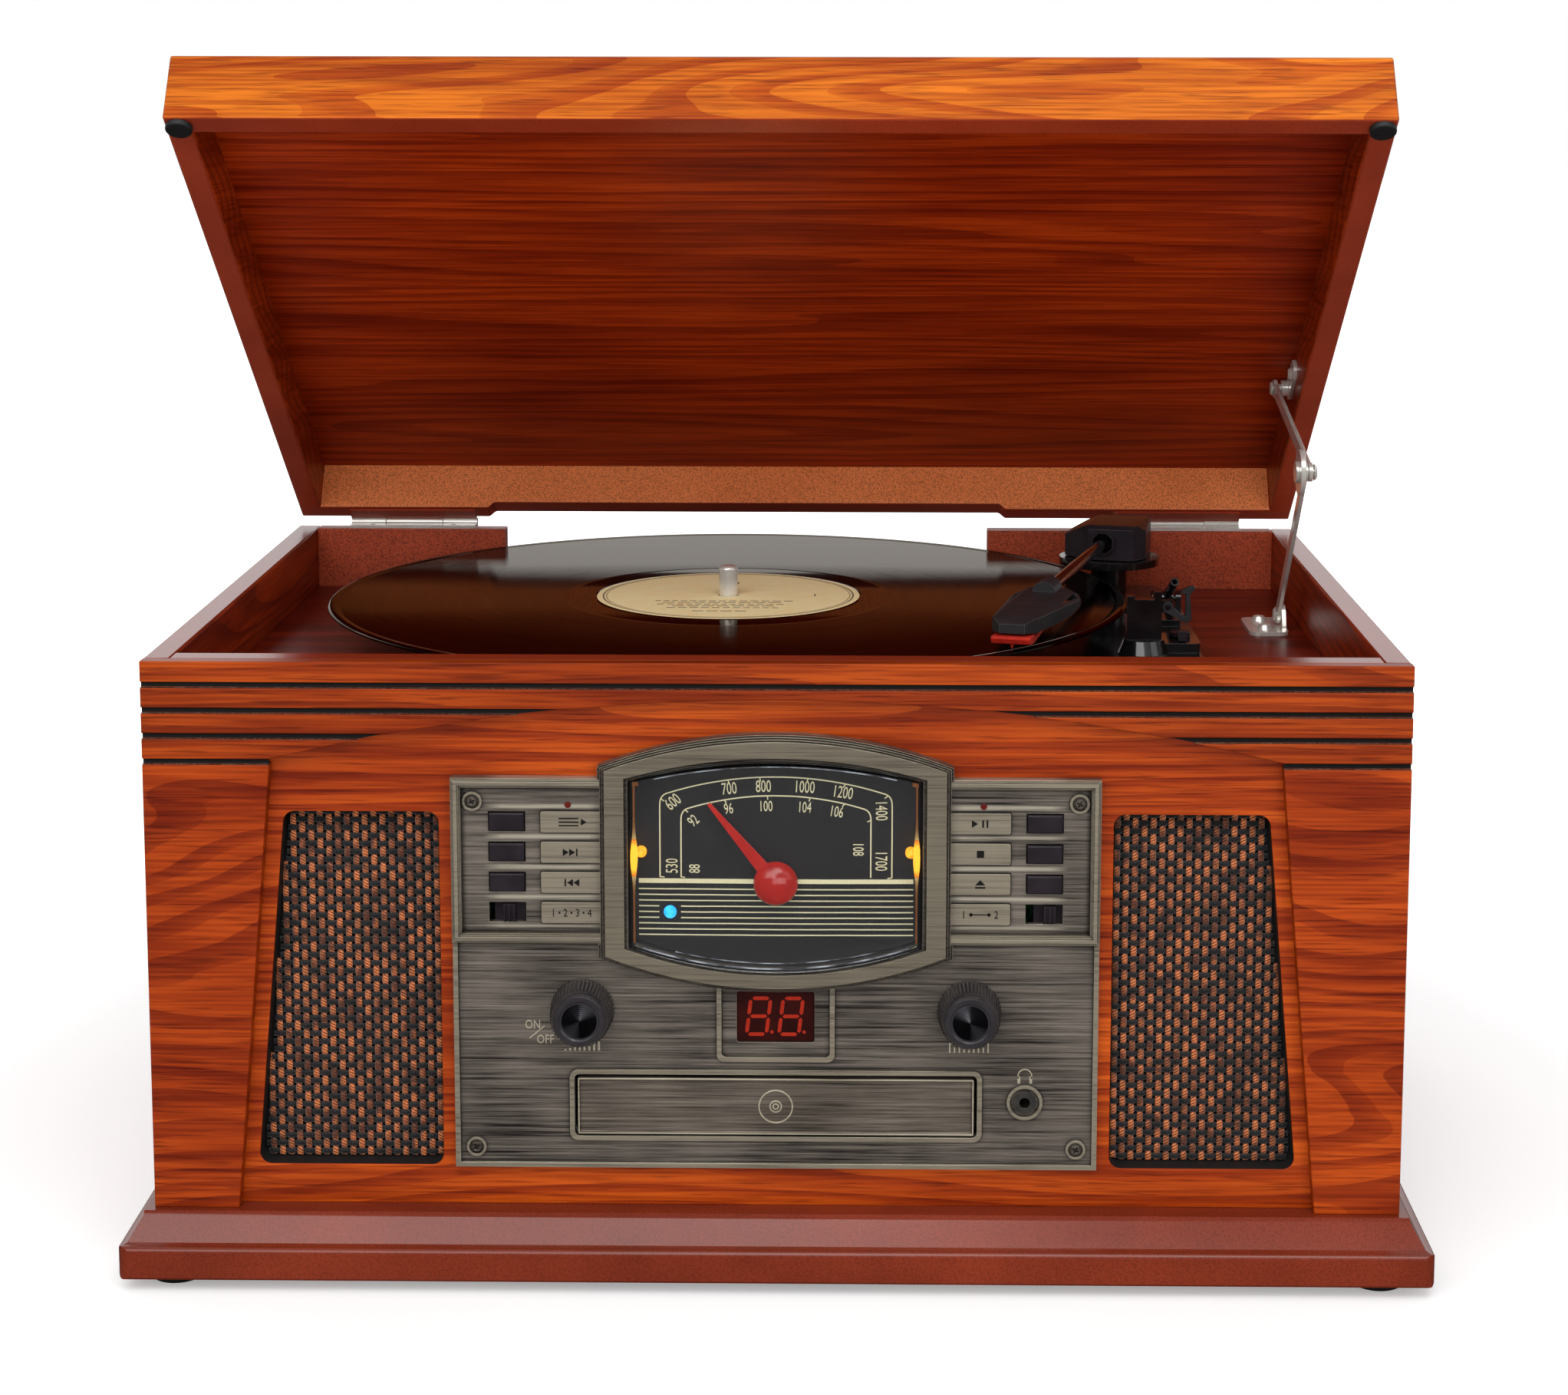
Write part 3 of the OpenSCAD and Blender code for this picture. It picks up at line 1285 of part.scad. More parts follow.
module stay_deck_bracket() {
    color(nickel) {
        placed() translate([0, stay_deck[0], z_deck]) difference() {
            linear_extrude(arm_plate) plate([stay_x - 12, -16], [stay_x + layer + arm_plate, 16], 4);
            for (y = [-9, 9]) translate([stay_x - 5.5, y, -1]) cylinder(r = 1.4, h = 4);
        }
        placed() translate([stay_x + layer, stay_deck[0], z_deck + 1]) rotate([90, 0, 90])
            linear_extrude(arm_plate) hull() {
                translate([-6, 0]) square([12, 1]);
                translate([0, stay_foot_z - 1]) circle(4);
            }
        rivet(stay_deck, stay_x - 0.2, stay_x + layer, rivet_r, 3);
        placed() for (y = [-9, 9]) translate([stay_x - 5.5, stay_deck[0] + y, z_deck + arm_plate])
            rotate([-90, 0, 0]) pan_screw(3, 8);
    }
}

module stay_lower_arm() {
    color(nickel) {
        stay_arm(stay_deck, stay_knee, stay_x, rivet_r + run, 0);
        placed() translate([stay_x, stay_knee[0], stay_knee[1]]) rotate([0, 90, 0]) {
            translate([0, 0, -3]) cylinder(r = 4, h = 1.2);
            translate([0, 0, -1.8]) cylinder(r = 8.5, h = 1.8);
            cylinder(r = rivet_r, h = 2 * layer + 0.3);
            translate([0, 0, 2 * layer + 0.3]) cylinder(r1 = 3.2, r2 = 2.4, h = 1);
        }
    }
}

module stay_upper_arm() {
    color(nickel) stay_arm(stay_knee, lid_pivot, stay_x + layer, rivet_r + run, rivet_r + 0.2);
}

module stay_lid_bracket() {
    wall = lid_x - board_t;
    color(nickel) {
        rivet(lid_pivot, stay_x + layer - 0.3, wall - 1.5, rivet_r, 3);
        opened() translate([wall - 1.5, hinge_y - stay_reach, hinge_z + stay_rise]) rotate([90, 0, 90]) {
            linear_extrude(1.5) hull() for (y = [-14, 0]) translate([y, 0]) circle(4.5);
            translate([0, 0, -2.6]) cylinder(r = 3.2, h = 2.6);
            translate([-12, 0, -1.4]) cylinder(r1 = 1.6, r2 = 2.6, h = 1.4);
        }
    }
}

// ---- Cassette deck in the right side ----

z_slot = z_cab + slot_z;
flap_t = 1.5;
mouth_x = cab_w / 2 + 2;

module tape_deck() {
    half = slot_w / 2;
    depth = 70;
    x0 = in_x - depth;
    wall = 3;
    color(black) placed() difference() {
        union() {
            block([x0, slot_y - half - wall, z_slot - slot_h / 2 - wall],
                  [cab_w / 2, slot_y + half + wall, z_slot + slot_h / 2 + wall]);
            translate([cab_w / 2, slot_y, z_slot]) rotate([90, 0, 90]) linear_extrude(2)
                plate([-half - 8, -slot_h / 2 - 18], [half + 8, slot_h / 2 + 8], 4);
            block([in_x - 30, slot_y - half - wall, z_slot - slot_h / 2 - 13],
                  [cab_w / 2, slot_y - half + 14, z_slot - slot_h / 2 - wall]);
        }
        block([x0 + wall, slot_y - half, z_slot - slot_h / 2],
              [mouth_x + 1, slot_y + half, z_slot + slot_h / 2]);
        translate([mouth_x - 7, slot_y - half + 8, z_slot - slot_h / 2 - 8]) rotate([0, 90, 0])
            cylinder(r = 3.4, h = 10);
        translate([in_x - 25, slot_y - half + 8, z_slot - slot_h / 2 - 8]) rotate([0, 90, 0])
            cylinder(r = 2 + run, h = 40);
        translate([mouth_x - 3, slot_y - half - 2, z_slot + slot_h / 2 - 1.6]) rotate([-90, 0, 0])
            cylinder(r = 0.8 + run, h = slot_w + 4);
    }
}

module tape_flap() {
    half = slot_w / 2 - gap;
    color(black) placed() translate([mouth_x - 3, slot_y, z_slot + slot_h / 2 - 1.6]) {
        translate([0, -slot_w / 2 - 1.8, 0]) rotate([-90, 0, 0]) cylinder(r = 0.8, h = slot_w + 3.6);
        rotate([-90, 0, 0]) translate([0, 0, -half]) cylinder(r = 1.3, h = 2 * half);
        block([-flap_t / 2, -half, 2.2 + gap - slot_h], [flap_t / 2, half, 0]);
    }
}

module tape_key() {
    color(nickel) placed() translate([0, slot_y - slot_w / 2 + 8, z_slot - slot_h / 2 - 8]) rotate([0, 90, 0]) {
        translate([0, 0, mouth_x - 2]) cylinder(r = 3, h = 8);
        translate([0, 0, in_x - 20]) cylinder(r = 2, h = mouth_x - in_x + 20);
    }
}

base_plinth();
feet();
side_panels();
front_baffle();
front_trim();
back_board();
rear_cover();
case_screws();
deck_board();
speaker_grilles();
speakers();
control_panel();
dial_bezel();
dial_lens();
dial_face();
indicator_lamps();
dial_pointer();
display_module();
button_program();
button_next();
button_previous();
button_play();
button_stop();
button_eject();
function_switch();
band_switch();
volume_knob();
tuning_knob();
main_board();
transformer();
jacks();
disc_tray();
disc_mechanism();
turntable_chassis();
platter();
slip_mat();
record();
spindle();
drive_motor();
motor_pulley();
drive_belt();
tonearm_turret();
tonearm_tube();
headshell();
cartridge();
cue_lever();
arm_clip();
speed_lever();
lid_frame();
lid_top();
lid_bumpers();
cabinet_hinge_leaves();
lid_hinge_leaves();
stay_deck_bracket();
stay_lower_arm();
stay_upper_arm();
stay_lid_bracket();
tape_deck();
tape_flap();
tape_key();
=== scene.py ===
import json
import math

import bmesh
import bpy
import numpy as np
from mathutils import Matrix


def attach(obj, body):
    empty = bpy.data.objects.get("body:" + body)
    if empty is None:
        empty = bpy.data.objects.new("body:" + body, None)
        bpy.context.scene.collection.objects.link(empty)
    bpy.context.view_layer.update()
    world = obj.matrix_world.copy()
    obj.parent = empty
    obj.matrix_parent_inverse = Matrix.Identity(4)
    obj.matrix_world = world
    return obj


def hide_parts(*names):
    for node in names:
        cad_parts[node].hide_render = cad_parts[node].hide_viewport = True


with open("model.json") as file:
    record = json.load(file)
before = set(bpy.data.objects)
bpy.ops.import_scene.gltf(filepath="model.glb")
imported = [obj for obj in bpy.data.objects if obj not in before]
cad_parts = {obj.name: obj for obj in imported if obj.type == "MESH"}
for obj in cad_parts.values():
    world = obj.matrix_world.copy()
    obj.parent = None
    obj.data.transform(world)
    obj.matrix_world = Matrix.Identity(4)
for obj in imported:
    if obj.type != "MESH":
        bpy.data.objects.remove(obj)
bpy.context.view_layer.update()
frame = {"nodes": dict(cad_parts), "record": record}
root = bpy.context.scene.collection

# ---- Base and feet ----
# The base is a box of MDF with a fascia, a rounded nose, a cove and a sloped top band cut along its
# edge. It is stained red-brown and lacquered, so its edges are rounded over by the sanding, and it
# stands on four turned rubber feet.


def linear(code):
    """An sRGB hex colour as the linear RGBA that a shader takes."""
    c = np.array([int(code[i:i + 2], 16) for i in (1, 3, 5)]) / 255
    return (*np.where(c < 0.04045, c / 12.92, ((c + 0.055) / 1.055) ** 2.4), 1)


def add(tree, kind, sockets=(), stops=(), **settings):
    """Adds a shader node. sockets gives its inputs, by name or number, a value or the output that
    feeds them; stops are a ramp's (place, hex colour) pairs; settings are the node's own."""
    n = tree.nodes.new("ShaderNode" + kind)
    for key, value in settings.items():
        setattr(n, key, value)
    for key, value in dict(sockets).items():
        if isinstance(value, bpy.types.NodeSocket):
            tree.links.new(value, n.inputs[key])
        else:
            n.inputs[key].default_value = linear(value) if isinstance(value, str) else value
    for i, (place, code) in enumerate(stops):
        if i > 1:
            n.color_ramp.elements.new(place)
        n.color_ramp.elements[i].position = place
        n.color_ramp.elements[i].color = linear(code)
    return n


def finish_coat(name, **values):
    """A new material with its Principled shader's sockets set, and its object coordinates in
    metres: returns the material, its tree, the shader and the coordinates."""
    m = bpy.data.materials.new(name)
    m.use_nodes = True
    tree = m.node_tree
    shader = tree.nodes["Principled BSDF"]
    for key, value in values.items():
        key = key.replace("_", " ")
        shader.inputs[key].default_value = linear(value) if isinstance(value, str) else value
    return m, tree, shader, add(tree, "TexCoord").outputs["Object"]


def mixed(tree, share, a, b, way="MIX"):
    """Blends two colours by share and gives the result's socket."""
    n = add(tree, "Mix", data_type="RGBA", blend_type=way)
    for i, value in ((0, share), (6, a), (7, b)):
        if isinstance(value, bpy.types.NodeSocket):
            tree.links.new(value, n.inputs[i])
        else:
            n.inputs[i].default_value = linear(value) if isinstance(value, str) else value
    return n.outputs[2]


def stained_board(name, light, dark, rough, speckle=0.25):
    """MDF stained and lacquered. It has no grain: 60 mm clouds where the stain took unevenly and
    specks of fibre 0.7 mm wide, under a lacquer of IOR 1.5 with a slight orange peel of 2 mm."""
    m, t, s, at = finish_coat(name, Roughness=rough, IOR=1.5, Coat_Weight=0.12, Coat_Roughness=0.16,
                              Specular_IOR_Level=0.35)
    cloud = add(t, "TexNoise", {"Vector": at, "Scale": 17.0, "Detail": 3.0})
    speck = add(t, "TexNoise", {"Vector": at, "Scale": 1500.0, "Detail": 2.0})
    base = add(t, "ValToRGB", {0: cloud.outputs["Fac"]}, [(0.3, dark), (0.7, light)])
    spots = add(t, "ValToRGB", {0: speck.outputs["Fac"]}, [(0.36, "#301008"), (0.56, "#ffffff")])
    colour = mixed(t, speckle, base.outputs[0], spots.outputs[0], "MULTIPLY")
    t.links.new(colour, s.inputs["Base Color"])
    peel = add(t, "TexNoise", {"Vector": at, "Scale": 500.0})
    bump = add(t, "Bump", {"Height": peel.outputs["Fac"], "Distance": 0.00003, "Strength": 0.5})
    t.links.new(bump.outputs[0], s.inputs["Normal"])
    return m


def as_cut(name):
    """A copy of a CAD node's mesh with its loose triangles joined at their corners and its flat
    areas merged, to finish in this script."""
    mesh = frame["nodes"][name].data.copy()
    bm = bmesh.new()
    bm.from_mesh(mesh)
    bmesh.ops.remove_doubles(bm, verts=bm.verts, dist=3e-6)
    bmesh.ops.dissolve_limit(bm, angle_limit=math.radians(0.8), verts=bm.verts, edges=bm.edges)
    bm.to_mesh(mesh)
    bm.free()
    mesh.materials.clear()
    return mesh


body_of_node = {n: b for b, names in frame["record"]["behaviour"]["bodies"].items() for n in names}


def eased(name, width, *materials, angle=32, steps=2, pick=None):
    """Stands for a CAD node with its edges rounded over. Every edge sharper than angle gets a band
    width millimetres wide, in the second material if there is one and no pick. pick(centres,
    normals) gives the material number of each face."""
    mesh = as_cut(name)
    for m in materials:
        mesh.materials.append(m)
    if pick:
        n = len(mesh.polygons)
        centres, normals = np.empty(n * 3), np.empty(n * 3)
        mesh.polygons.foreach_get("center", centres)
        mesh.polygons.foreach_get("normal", normals)
        numbers = pick(centres.reshape(-1, 3), normals.reshape(-1, 3))
        mesh.polygons.foreach_set("material_index", numbers)
    mesh.set_sharp_from_angle(angle=math.radians(angle))
    mesh.polygons.foreach_set("use_smooth", [True] * len(mesh.polygons))
    obj = bpy.data.objects.new(name + "_finished", mesh)
    root.objects.link(obj)
    if width:
        bevel = obj.modifiers.new("eased edges", "BEVEL")
        bevel.width = width / 1000
        bevel.segments = steps
        bevel.limit_method = "ANGLE"
        bevel.angle_limit = math.radians(angle)
        bevel.material = 1 if len(materials) > 1 and not pick else -1
        even = obj.modifiers.new("flats shaded flat", "WEIGHTED_NORMAL")
        even.keep_sharp = True
    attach(obj, body_of_node[name])
    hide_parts(name)
    return obj


base_lacquer = stained_board("red-brown lacquered MDF", "#84321c", "#6c2614", rough=0.22)
eased("base_plinth", 0.7, base_lacquer, angle=24)


def grained(coat, cells, deep, detail=2.0, strength=1.0):
    """Gives a coat its surface grain: noise with so many cells to the metre, deep metres high.
    Returns the material."""
    m, t, s, at = coat
    noise = add(t, "TexNoise", {"Vector": at, "Scale": cells, "Detail": detail})
    bump = add(t, "Bump", {"Height": noise.outputs["Fac"], "Distance": deep, "Strength": strength})
    t.links.new(bump.outputs[0], s.inputs["Normal"])
    return m


# rubber comes dull from the mould, with a sandy grain of 1 mm
foot_rubber = grained(finish_coat("moulded black rubber", Base_Color="#171717", Roughness=0.62,
                                  IOR=1.52), 900.0, 0.00004)
eased("feet", 0.4, foot_rubber)

# ---- Cabinet boards ----
# Side panels, front, back and deck of 9 mm MDF. The outside carries crown-cut cherry veneer, its
# grain level on the front and the sides, stained and lacquered; the well's back wall is bare
# speckled board, and the deck's veneer is darker and more even.


def veneer(name, colours, grain, ring, wave, figure=42.0, rough=0.34, turn=0.0, pores=0.4, draw=9.0):
    """Crown-cut veneer, sanded and thinly lacquered. Growth rings are a saw wave over the distance
    across the grain, ring millimetres apart. They are bent by up to 3 wave rings by slow noise
    figure millimetres wide and drawn out draw times along the grain (X or Y), so that they
    close into long leaves. Pores are dark dashes, really 0.3 mm wide and drawn 0.6 mm wide so that
    they show, and darker fibre streaks 1.1 mm wide run between them. colours go from the ring's
    pale wood to its dark edge, turn is the board's slope, and pores is how dark the dashes are."""
    m, t, s, at = finish_coat(name, Roughness=rough, IOR=1.45, Specular_IOR_Level=0.18)
    along = "XYZ".index(grain)

    def drawn(times):
        """The coordinates in millimetres, drawn out so many times along the grain."""
        scale = [1000.0] * 3
        scale[along] /= times
        return add(t, "Mapping", {"Vector": at, "Rotation": (turn, 0, 0), "Scale": scale}).outputs[0]

    slow = add(t, "TexNoise",
               {"Vector": drawn(draw), "Scale": 1 / figure, "Detail": 1.5, "Roughness": 0.45})
    fine = add(t, "TexNoise", {"Vector": drawn(14), "Scale": 0.09, "Detail": 2.0})
    across = add(t, "SeparateXYZ", {0: drawn(1)}).outputs["Z"]
    bend = add(t, "Math", {0: slow.outputs["Fac"], 1: wave * 3.0}, operation="MULTIPLY")
    level = add(t, "Math", {0: across, 1: 1 / ring, 2: bend.outputs[0]}, operation="MULTIPLY_ADD")
    level = add(t, "Math", {0: fine.outputs["Fac"], 1: 0.35, 2: level.outputs[0]},
                operation="MULTIPLY_ADD")
    saw = add(t, "Math", {0: level.outputs[0]}, operation="FRACT")
    pale, middle, edge = colours
    rings = add(t, "ValToRGB", {0: saw.outputs[0]},
                [(0.0, pale), (1.0, pale), (0.55, middle), (0.86, edge)])
    clouds = add(t, "TexNoise", {"Vector": drawn(7), "Scale": 0.05, "Detail": 2.5})
    shade = add(t, "ValToRGB", {0: clouds.outputs["Fac"]}, [(0.32, "#c9b0a4"), (0.66, "#ffffff")])
    streak = add(t, "TexNoise", {"Vector": drawn(40), "Scale": 0.9, "Detail": 1.0})
    streaks = add(t, "ValToRGB", {0: streak.outputs["Fac"]}, [(0.36, "#c2a091"), (0.62, "#ffffff")])
    pore = add(t, "TexNoise", {"Vector": drawn(26), "Scale": 1.6, "Detail": 0.5})
    dashes = add(t, "ValToRGB", {0: pore.outputs["Fac"]}, [(0.28, "#6a3422"), (0.42, "#ffffff")])
    colour = mixed(t, 1.0, rings.outputs[0], shade.outputs[0], "MULTIPLY")
    colour = mixed(t, 0.7, colour, streaks.outputs[0], "MULTIPLY")
    colour = mixed(t, pores, colour, dashes.outputs[0], "MULTIPLY")
    t.links.new(colour, s.inputs["Base Color"])
    bump = add(t, "Bump", {"Height": dashes.outputs[0], "Distance": 0.00005, "Strength": 0.35})
    t.links.new(bump.outputs[0], s.inputs["Normal"])
    return m


cherry_level = veneer("cherry veneer, level grain", ["#c45411", "#b8490e", "#a03b0c"], "X",
                      figure=34, wave=3.5, ring=7.0, draw=14, pores=0.42)
trim_veneer = veneer("cherry veneer of the header", ["#ad470d", "#a33f0b", "#90350a"], "X",
                     figure=34, wave=3, ring=6.0, draw=14, pores=0.42)
cherry_figured = veneer("cherry veneer, level grain with tall leaves of figure",
                        ["#b6490d", "#a43d0b", "#933309"], "X",
                        figure=62, wave=4, draw=3.6, ring=11.0, pores=0.42)
side_veneer = veneer("cherry veneer of the sides", ["#b23f12", "#a5380f", "#8d2e0d"], "Y",
                     ring=6, wave=4)
deck_veneer = veneer("dark cherry veneer of the deck", ["#8c2c14", "#7c2410", "#6a1c0c"], "X",
                     ring=8, wave=3)
rim_lacquer = stained_board("red-brown lacquered board edge", "#96361c", "#7f2b16", rough=0.22,
                            speckle=0.15)
bare_board = stained_board("bare speckled board", "#b84a26", "#a03c1d", rough=0.5, speckle=0.6)

eased("side_panels", 0.8, side_veneer, rim_lacquer,
      pick=lambda c, n: (np.abs(n[:, 0]) < 0.5).astype(int))
eased("front_baffle", 0.3, cherry_level, rim_lacquer, pick=lambda c, n: (n[:, 2] > 0.5).astype(int))
PILASTER_TOP = 0.1795    # metres: below it, front_trim is the pilasters, whose figure is larger
eased("front_trim", 0.6, trim_veneer, cherry_figured, angle=22,
      pick=lambda c, n: ((c[:, 2] < PILASTER_TOP) | (np.abs(n[:, 0]) > 0.5)).astype(int))
eased("back_board", 0.4, bare_board)
eased("deck_board", 0.3, deck_veneer)

# ---- Black grooves of the header ----
# Saw cuts across the header, 2 mm wide and 2 mm deep, painted black before the lacquer; each lower
# wall carries a painted highlight of pale glints. They stop where the arch cuts through them, and the
# lowest runs between header and pilaster.
MOVED = 153.5            # how far the header's face is in front of the origin, in mm
CAB_W, TOP, HEADER = 418.0, 213.0, 32.7
ARCH_W, ARCH_RISE = 334.0, 20.5
ARCH_R = (ARCH_W ** 2 / 4 + ARCH_RISE ** 2) / (2 * ARCH_RISE)
GROOVE_DOWN, GROOVE_PITCH = 7.9, 8.6       # from the header's top to the first groove and onwards
GROOVE_HALF, GROOVE_FRONT, GROOVE_BACK = 0.94, 0.25, 1.94


def build(name, points, faces, body, *materials, slot, smooth=True, numbers=None, easing=40):
    """A piece from points in millimetres from the header's face and from the surface the object
    stands on. faces index the points, numbers gives the materials of the faces, and an edge
    sharper than easing degrees is shaded sharp."""
    points = np.asarray(points, float).reshape(-1, 3)
    mesh = bpy.data.meshes.new(name)
    mesh.from_pydata((points - [0, MOVED, 0]) / 1000, [], [tuple(map(int, f)) for f in faces])
    for m in materials:
        mesh.materials.append(m)
    mesh.polygons.foreach_set("use_smooth", [smooth] * len(mesh.polygons))
    if numbers is not None:
        mesh.polygons.foreach_set("material_index", np.asarray(numbers, int))
    if smooth and easing:
        mesh.set_sharp_from_angle(angle=math.radians(easing))
    obj = bpy.data.objects.new(name, mesh)
    root.objects.link(obj)
    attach(obj, body)
    return obj


def grid_faces(rows, cols, round_rows=False, round_cols=False, first=0):
    """Quads of a grid of points whose index is row * cols + column, closed round if asked."""
    i = np.arange(rows if round_rows else rows - 1)[:, None]
    j = np.arange(cols if round_cols else cols - 1)[None, :]
    a, b = i * cols + j, i * cols + (j + 1) % cols
    c, d = ((i + 1) % rows) * cols + (j + 1) % cols, ((i + 1) % rows) * cols + j
    return np.stack([a, b, c, d], -1).reshape(-1, 4) + first


def arch_x(z):
    """Half width of the arch at height z: where the header's lower edge reaches that height."""
    up = z - (TOP - HEADER + ARCH_RISE - ARCH_R)
    return np.sqrt(np.maximum(ARCH_R ** 2 - up ** 2, 0))


def mottled(coat, cells, low, high, detail=2.0):
    """Gives a coat its uneven colour: noise with so many cells to the metre runs it between two
    stops, each a place and a colour. Returns the material."""
    m, t, s, at = coat
    noise = add(t, "TexNoise", {"Vector": at, "Scale": cells, "Detail": detail})
    ramp = add(t, "ValToRGB", {0: noise.outputs["Fac"]}, [low, high])
    t.links.new(ramp.outputs[0], s.inputs["Base Color"])
    return m


# brushed black paint on the upper and back walls
groove_paint = finish_coat("matt black groove paint", Base_Color="#15110f", Roughness=0.5,
                           IOR=1.5)[0]
# the lower wall is black with a painted highlight: pale glints in dots 1 mm apart along its lip
lower_wall_glints = mottled(finish_coat("black paint with painted glints on the groove's lower wall", Roughness=0.4, IOR=1.5),
                     900.0, (0.42, "#1a1614"), (0.68, "#8d857c"))
# the cut as (depth, height) points: upper front edge, upper back, lower back, lower front edge
section = np.array([[GROOVE_FRONT, GROOVE_HALF], [GROOVE_BACK, GROOVE_HALF],
                    [GROOVE_BACK, -GROOVE_HALF], [GROOVE_FRONT, -GROOVE_HALF]])
points, faces = [], []
for z in TOP - GROOVE_DOWN - GROOVE_PITCH * np.arange(4):
    for side in (-1, 1):
        if z < TOP - HEADER:                       # between header and pilaster
            inner = np.full(4, ARCH_W / 2 + 0.2)
        elif z < TOP - HEADER + ARCH_RISE - 1:     # stops at the arch
            inner = arch_x(z + section[:, 1])
        else:                                      # runs right across
            inner = np.zeros(4)
        x = side * np.stack([inner, np.full(4, CAB_W / 2 - 0.03)])
        y = np.broadcast_to(section[:, 0], x.shape)
        height = np.broadcast_to(z + section[:, 1], x.shape)
        f = grid_faces(2, 4, first=len(points) * x.size)
        faces += list(f if side < 0 else f[:, ::-1])
        points.append(np.stack([x, y, height], -1).reshape(-1, 3))
walls = [0, 0, 1]                                  # upper, back, lower
build("header_grooves", np.concatenate(points), faces, "cabinet", groove_paint, lower_wall_glints,
      slot="matt_black", smooth=False, numbers=np.tile(walls, len(faces) // len(walls)))

# ---- Loudspeakers and their cloth ----
# Two drivers stand behind the front board. In front of each is a cloth woven in plain weave from a
# thick two-ply orange-brown warp and a black weft, 3 mm by 2.75 mm to the crossing, stretched over
# a black board; the openings' walls are painted black.
GRILLE_IN, GRILLE_Z = 112.0, 39.5              # inner lower corner, from the middle and the ground
GRILLE_TOP, GRILLE_LOW, GRILLE_H, GRILLE_R = 51.5, 62.5, 122.0, 4.0
WARP, WEFT = 3.0, 2.75                         # from thread to thread
WARP_HALF, WEFT_HALF = (1.02, 0.46), (0.98, 0.42)     # half widths and half thicknesses
# the cloth's depth, how far its yarn weaves to and fro, and how stiff the warp is
CLOTH_Y, SWING, STIFF = 13.35, 0.42, 2.4
YARN_POINTS, BEND_POINTS = 7, 5                # points round a thread, and along it to a crossing
WALL_FRONT, SHEET_Y, WALL_BACK, LIP, BOARD_BACK = 5.9, 14.41, 14.42, 14.52, 15.9


def opening_outline(less):
    """The opening's outline as (x, z) points, right-hand side: a straight-sided shape whose corners
    are arcs of 7 points, drawn less millimetres inside its edge."""
    corners = np.array([[GRILLE_IN, GRILLE_Z], [GRILLE_IN + GRILLE_LOW, GRILLE_Z],
                        [GRILLE_IN + GRILLE_TOP, GRILLE_Z + GRILLE_H],
                        [GRILLE_IN, GRILLE_Z + GRILLE_H]])
    out = []
    for i in range(4):
        p, a, b = corners[i], corners[i - 1] - corners[i], corners[(i + 1) % 4] - corners[i]
        a, b = a / np.linalg.norm(a), b / np.linalg.norm(b)
        half = math.acos(a @ b) / 2
        centre = p + (a + b) / np.linalg.norm(a + b) * GRILLE_R / math.sin(half)
        start, end = centre - p - a * ((centre - p) @ a), centre - p - b * ((centre - p) @ b)
        turn = np.linspace(0, 1, 7)[:, None]
        arm = -start * (1 - turn) - end * turn
        out.append(centre + arm / np.linalg.norm(arm, axis=1)[:, None] * (GRILLE_R - less))
    return np.concatenate(out)


def reach(outline, axis, value):
    """Lowest and highest place where the outline crosses that value of the other axis."""
    p, q = outline, np.roll(outline, -1, 0)
    other = 1 - axis
    hit = (p[:, axis] <= value) != (q[:, axis] <= value)
    share = (value - p[hit, axis]) / (q[hit, axis] - p[hit, axis])
    found = p[hit, other] + share * (q[hit, other] - p[hit, other])
    return (found.min(), found.max()) if len(found) else None


def yarn_coat(name, pale, deep, rough):
    """Two-ply cotton yarn, dull with a soft fuzz. The map's u goes once round it and v along it in
    millimetres, so a sine of 3 u + v makes the slanted plies, 1 mm apart, with fibres 0.4 mm wide
    across them; the colour follows that height, deep in the hollows as painted shade and pale on the
    crests as a painted highlight; tone is where the dye took less, in patches of 5 mm."""
    m, t, s, at = finish_coat(name, Roughness=rough, IOR=1.45, Sheen_Weight=0.25,
                              Sheen_Roughness=0.5)
    uv = add(t, "UVMap", uv_map="UVMap").outputs[0]
    part = add(t, "SeparateXYZ", {0: uv})
    slant = add(t, "Math", {0: part.outputs[0], 1: 3.0, 2: part.outputs[1]},
                operation="MULTIPLY_ADD")
    turned = add(t, "Math", {0: slant.outputs[0], 1: 2 * math.pi}, operation="MULTIPLY")
    ply = add(t, "Math", {0: turned.outputs[0]}, operation="SINE")
    fuzz = add(t, "TexNoise", {"Vector": at, "Scale": 2600.0, "Detail": 2.0})
    tone = add(t, "TexNoise", {"Vector": at, "Scale": 190.0, "Detail": 1.0})
    height = add(t, "Math", {0: ply.outputs[0], 1: 0.35, 2: fuzz.outputs["Fac"]},
                 operation="MULTIPLY_ADD")
    # painted shade and highlight: dark in the hollows between the plies, pale on their crests
    ramp = add(t, "ValToRGB", {0: height.outputs[0]}, [(0.15, deep), (0.8, pale)])
    dye = add(t, "ValToRGB", {0: tone.outputs["Fac"]}, [(0.36, "#5e4f46"), (0.62, "#ffffff")])
    colour = mixed(t, 0.9, ramp.outputs[0], dye.outputs[0], "MULTIPLY")
    t.links.new(colour, s.inputs["Base Color"])
    bump = add(t, "Bump", {"Height": height.outputs[0], "Distance": 0.00018, "Strength": 0.8})
    t.links.new(bump.outputs[0], s.inputs["Normal"])
    return m


warp_yarn = yarn_coat("two-ply orange-brown cotton yarn", "#dd7c3e", "#55200e", 0.5)
weft_yarn = yarn_coat("two-ply black cotton yarn", "#1d181b", "#080607", 0.55)
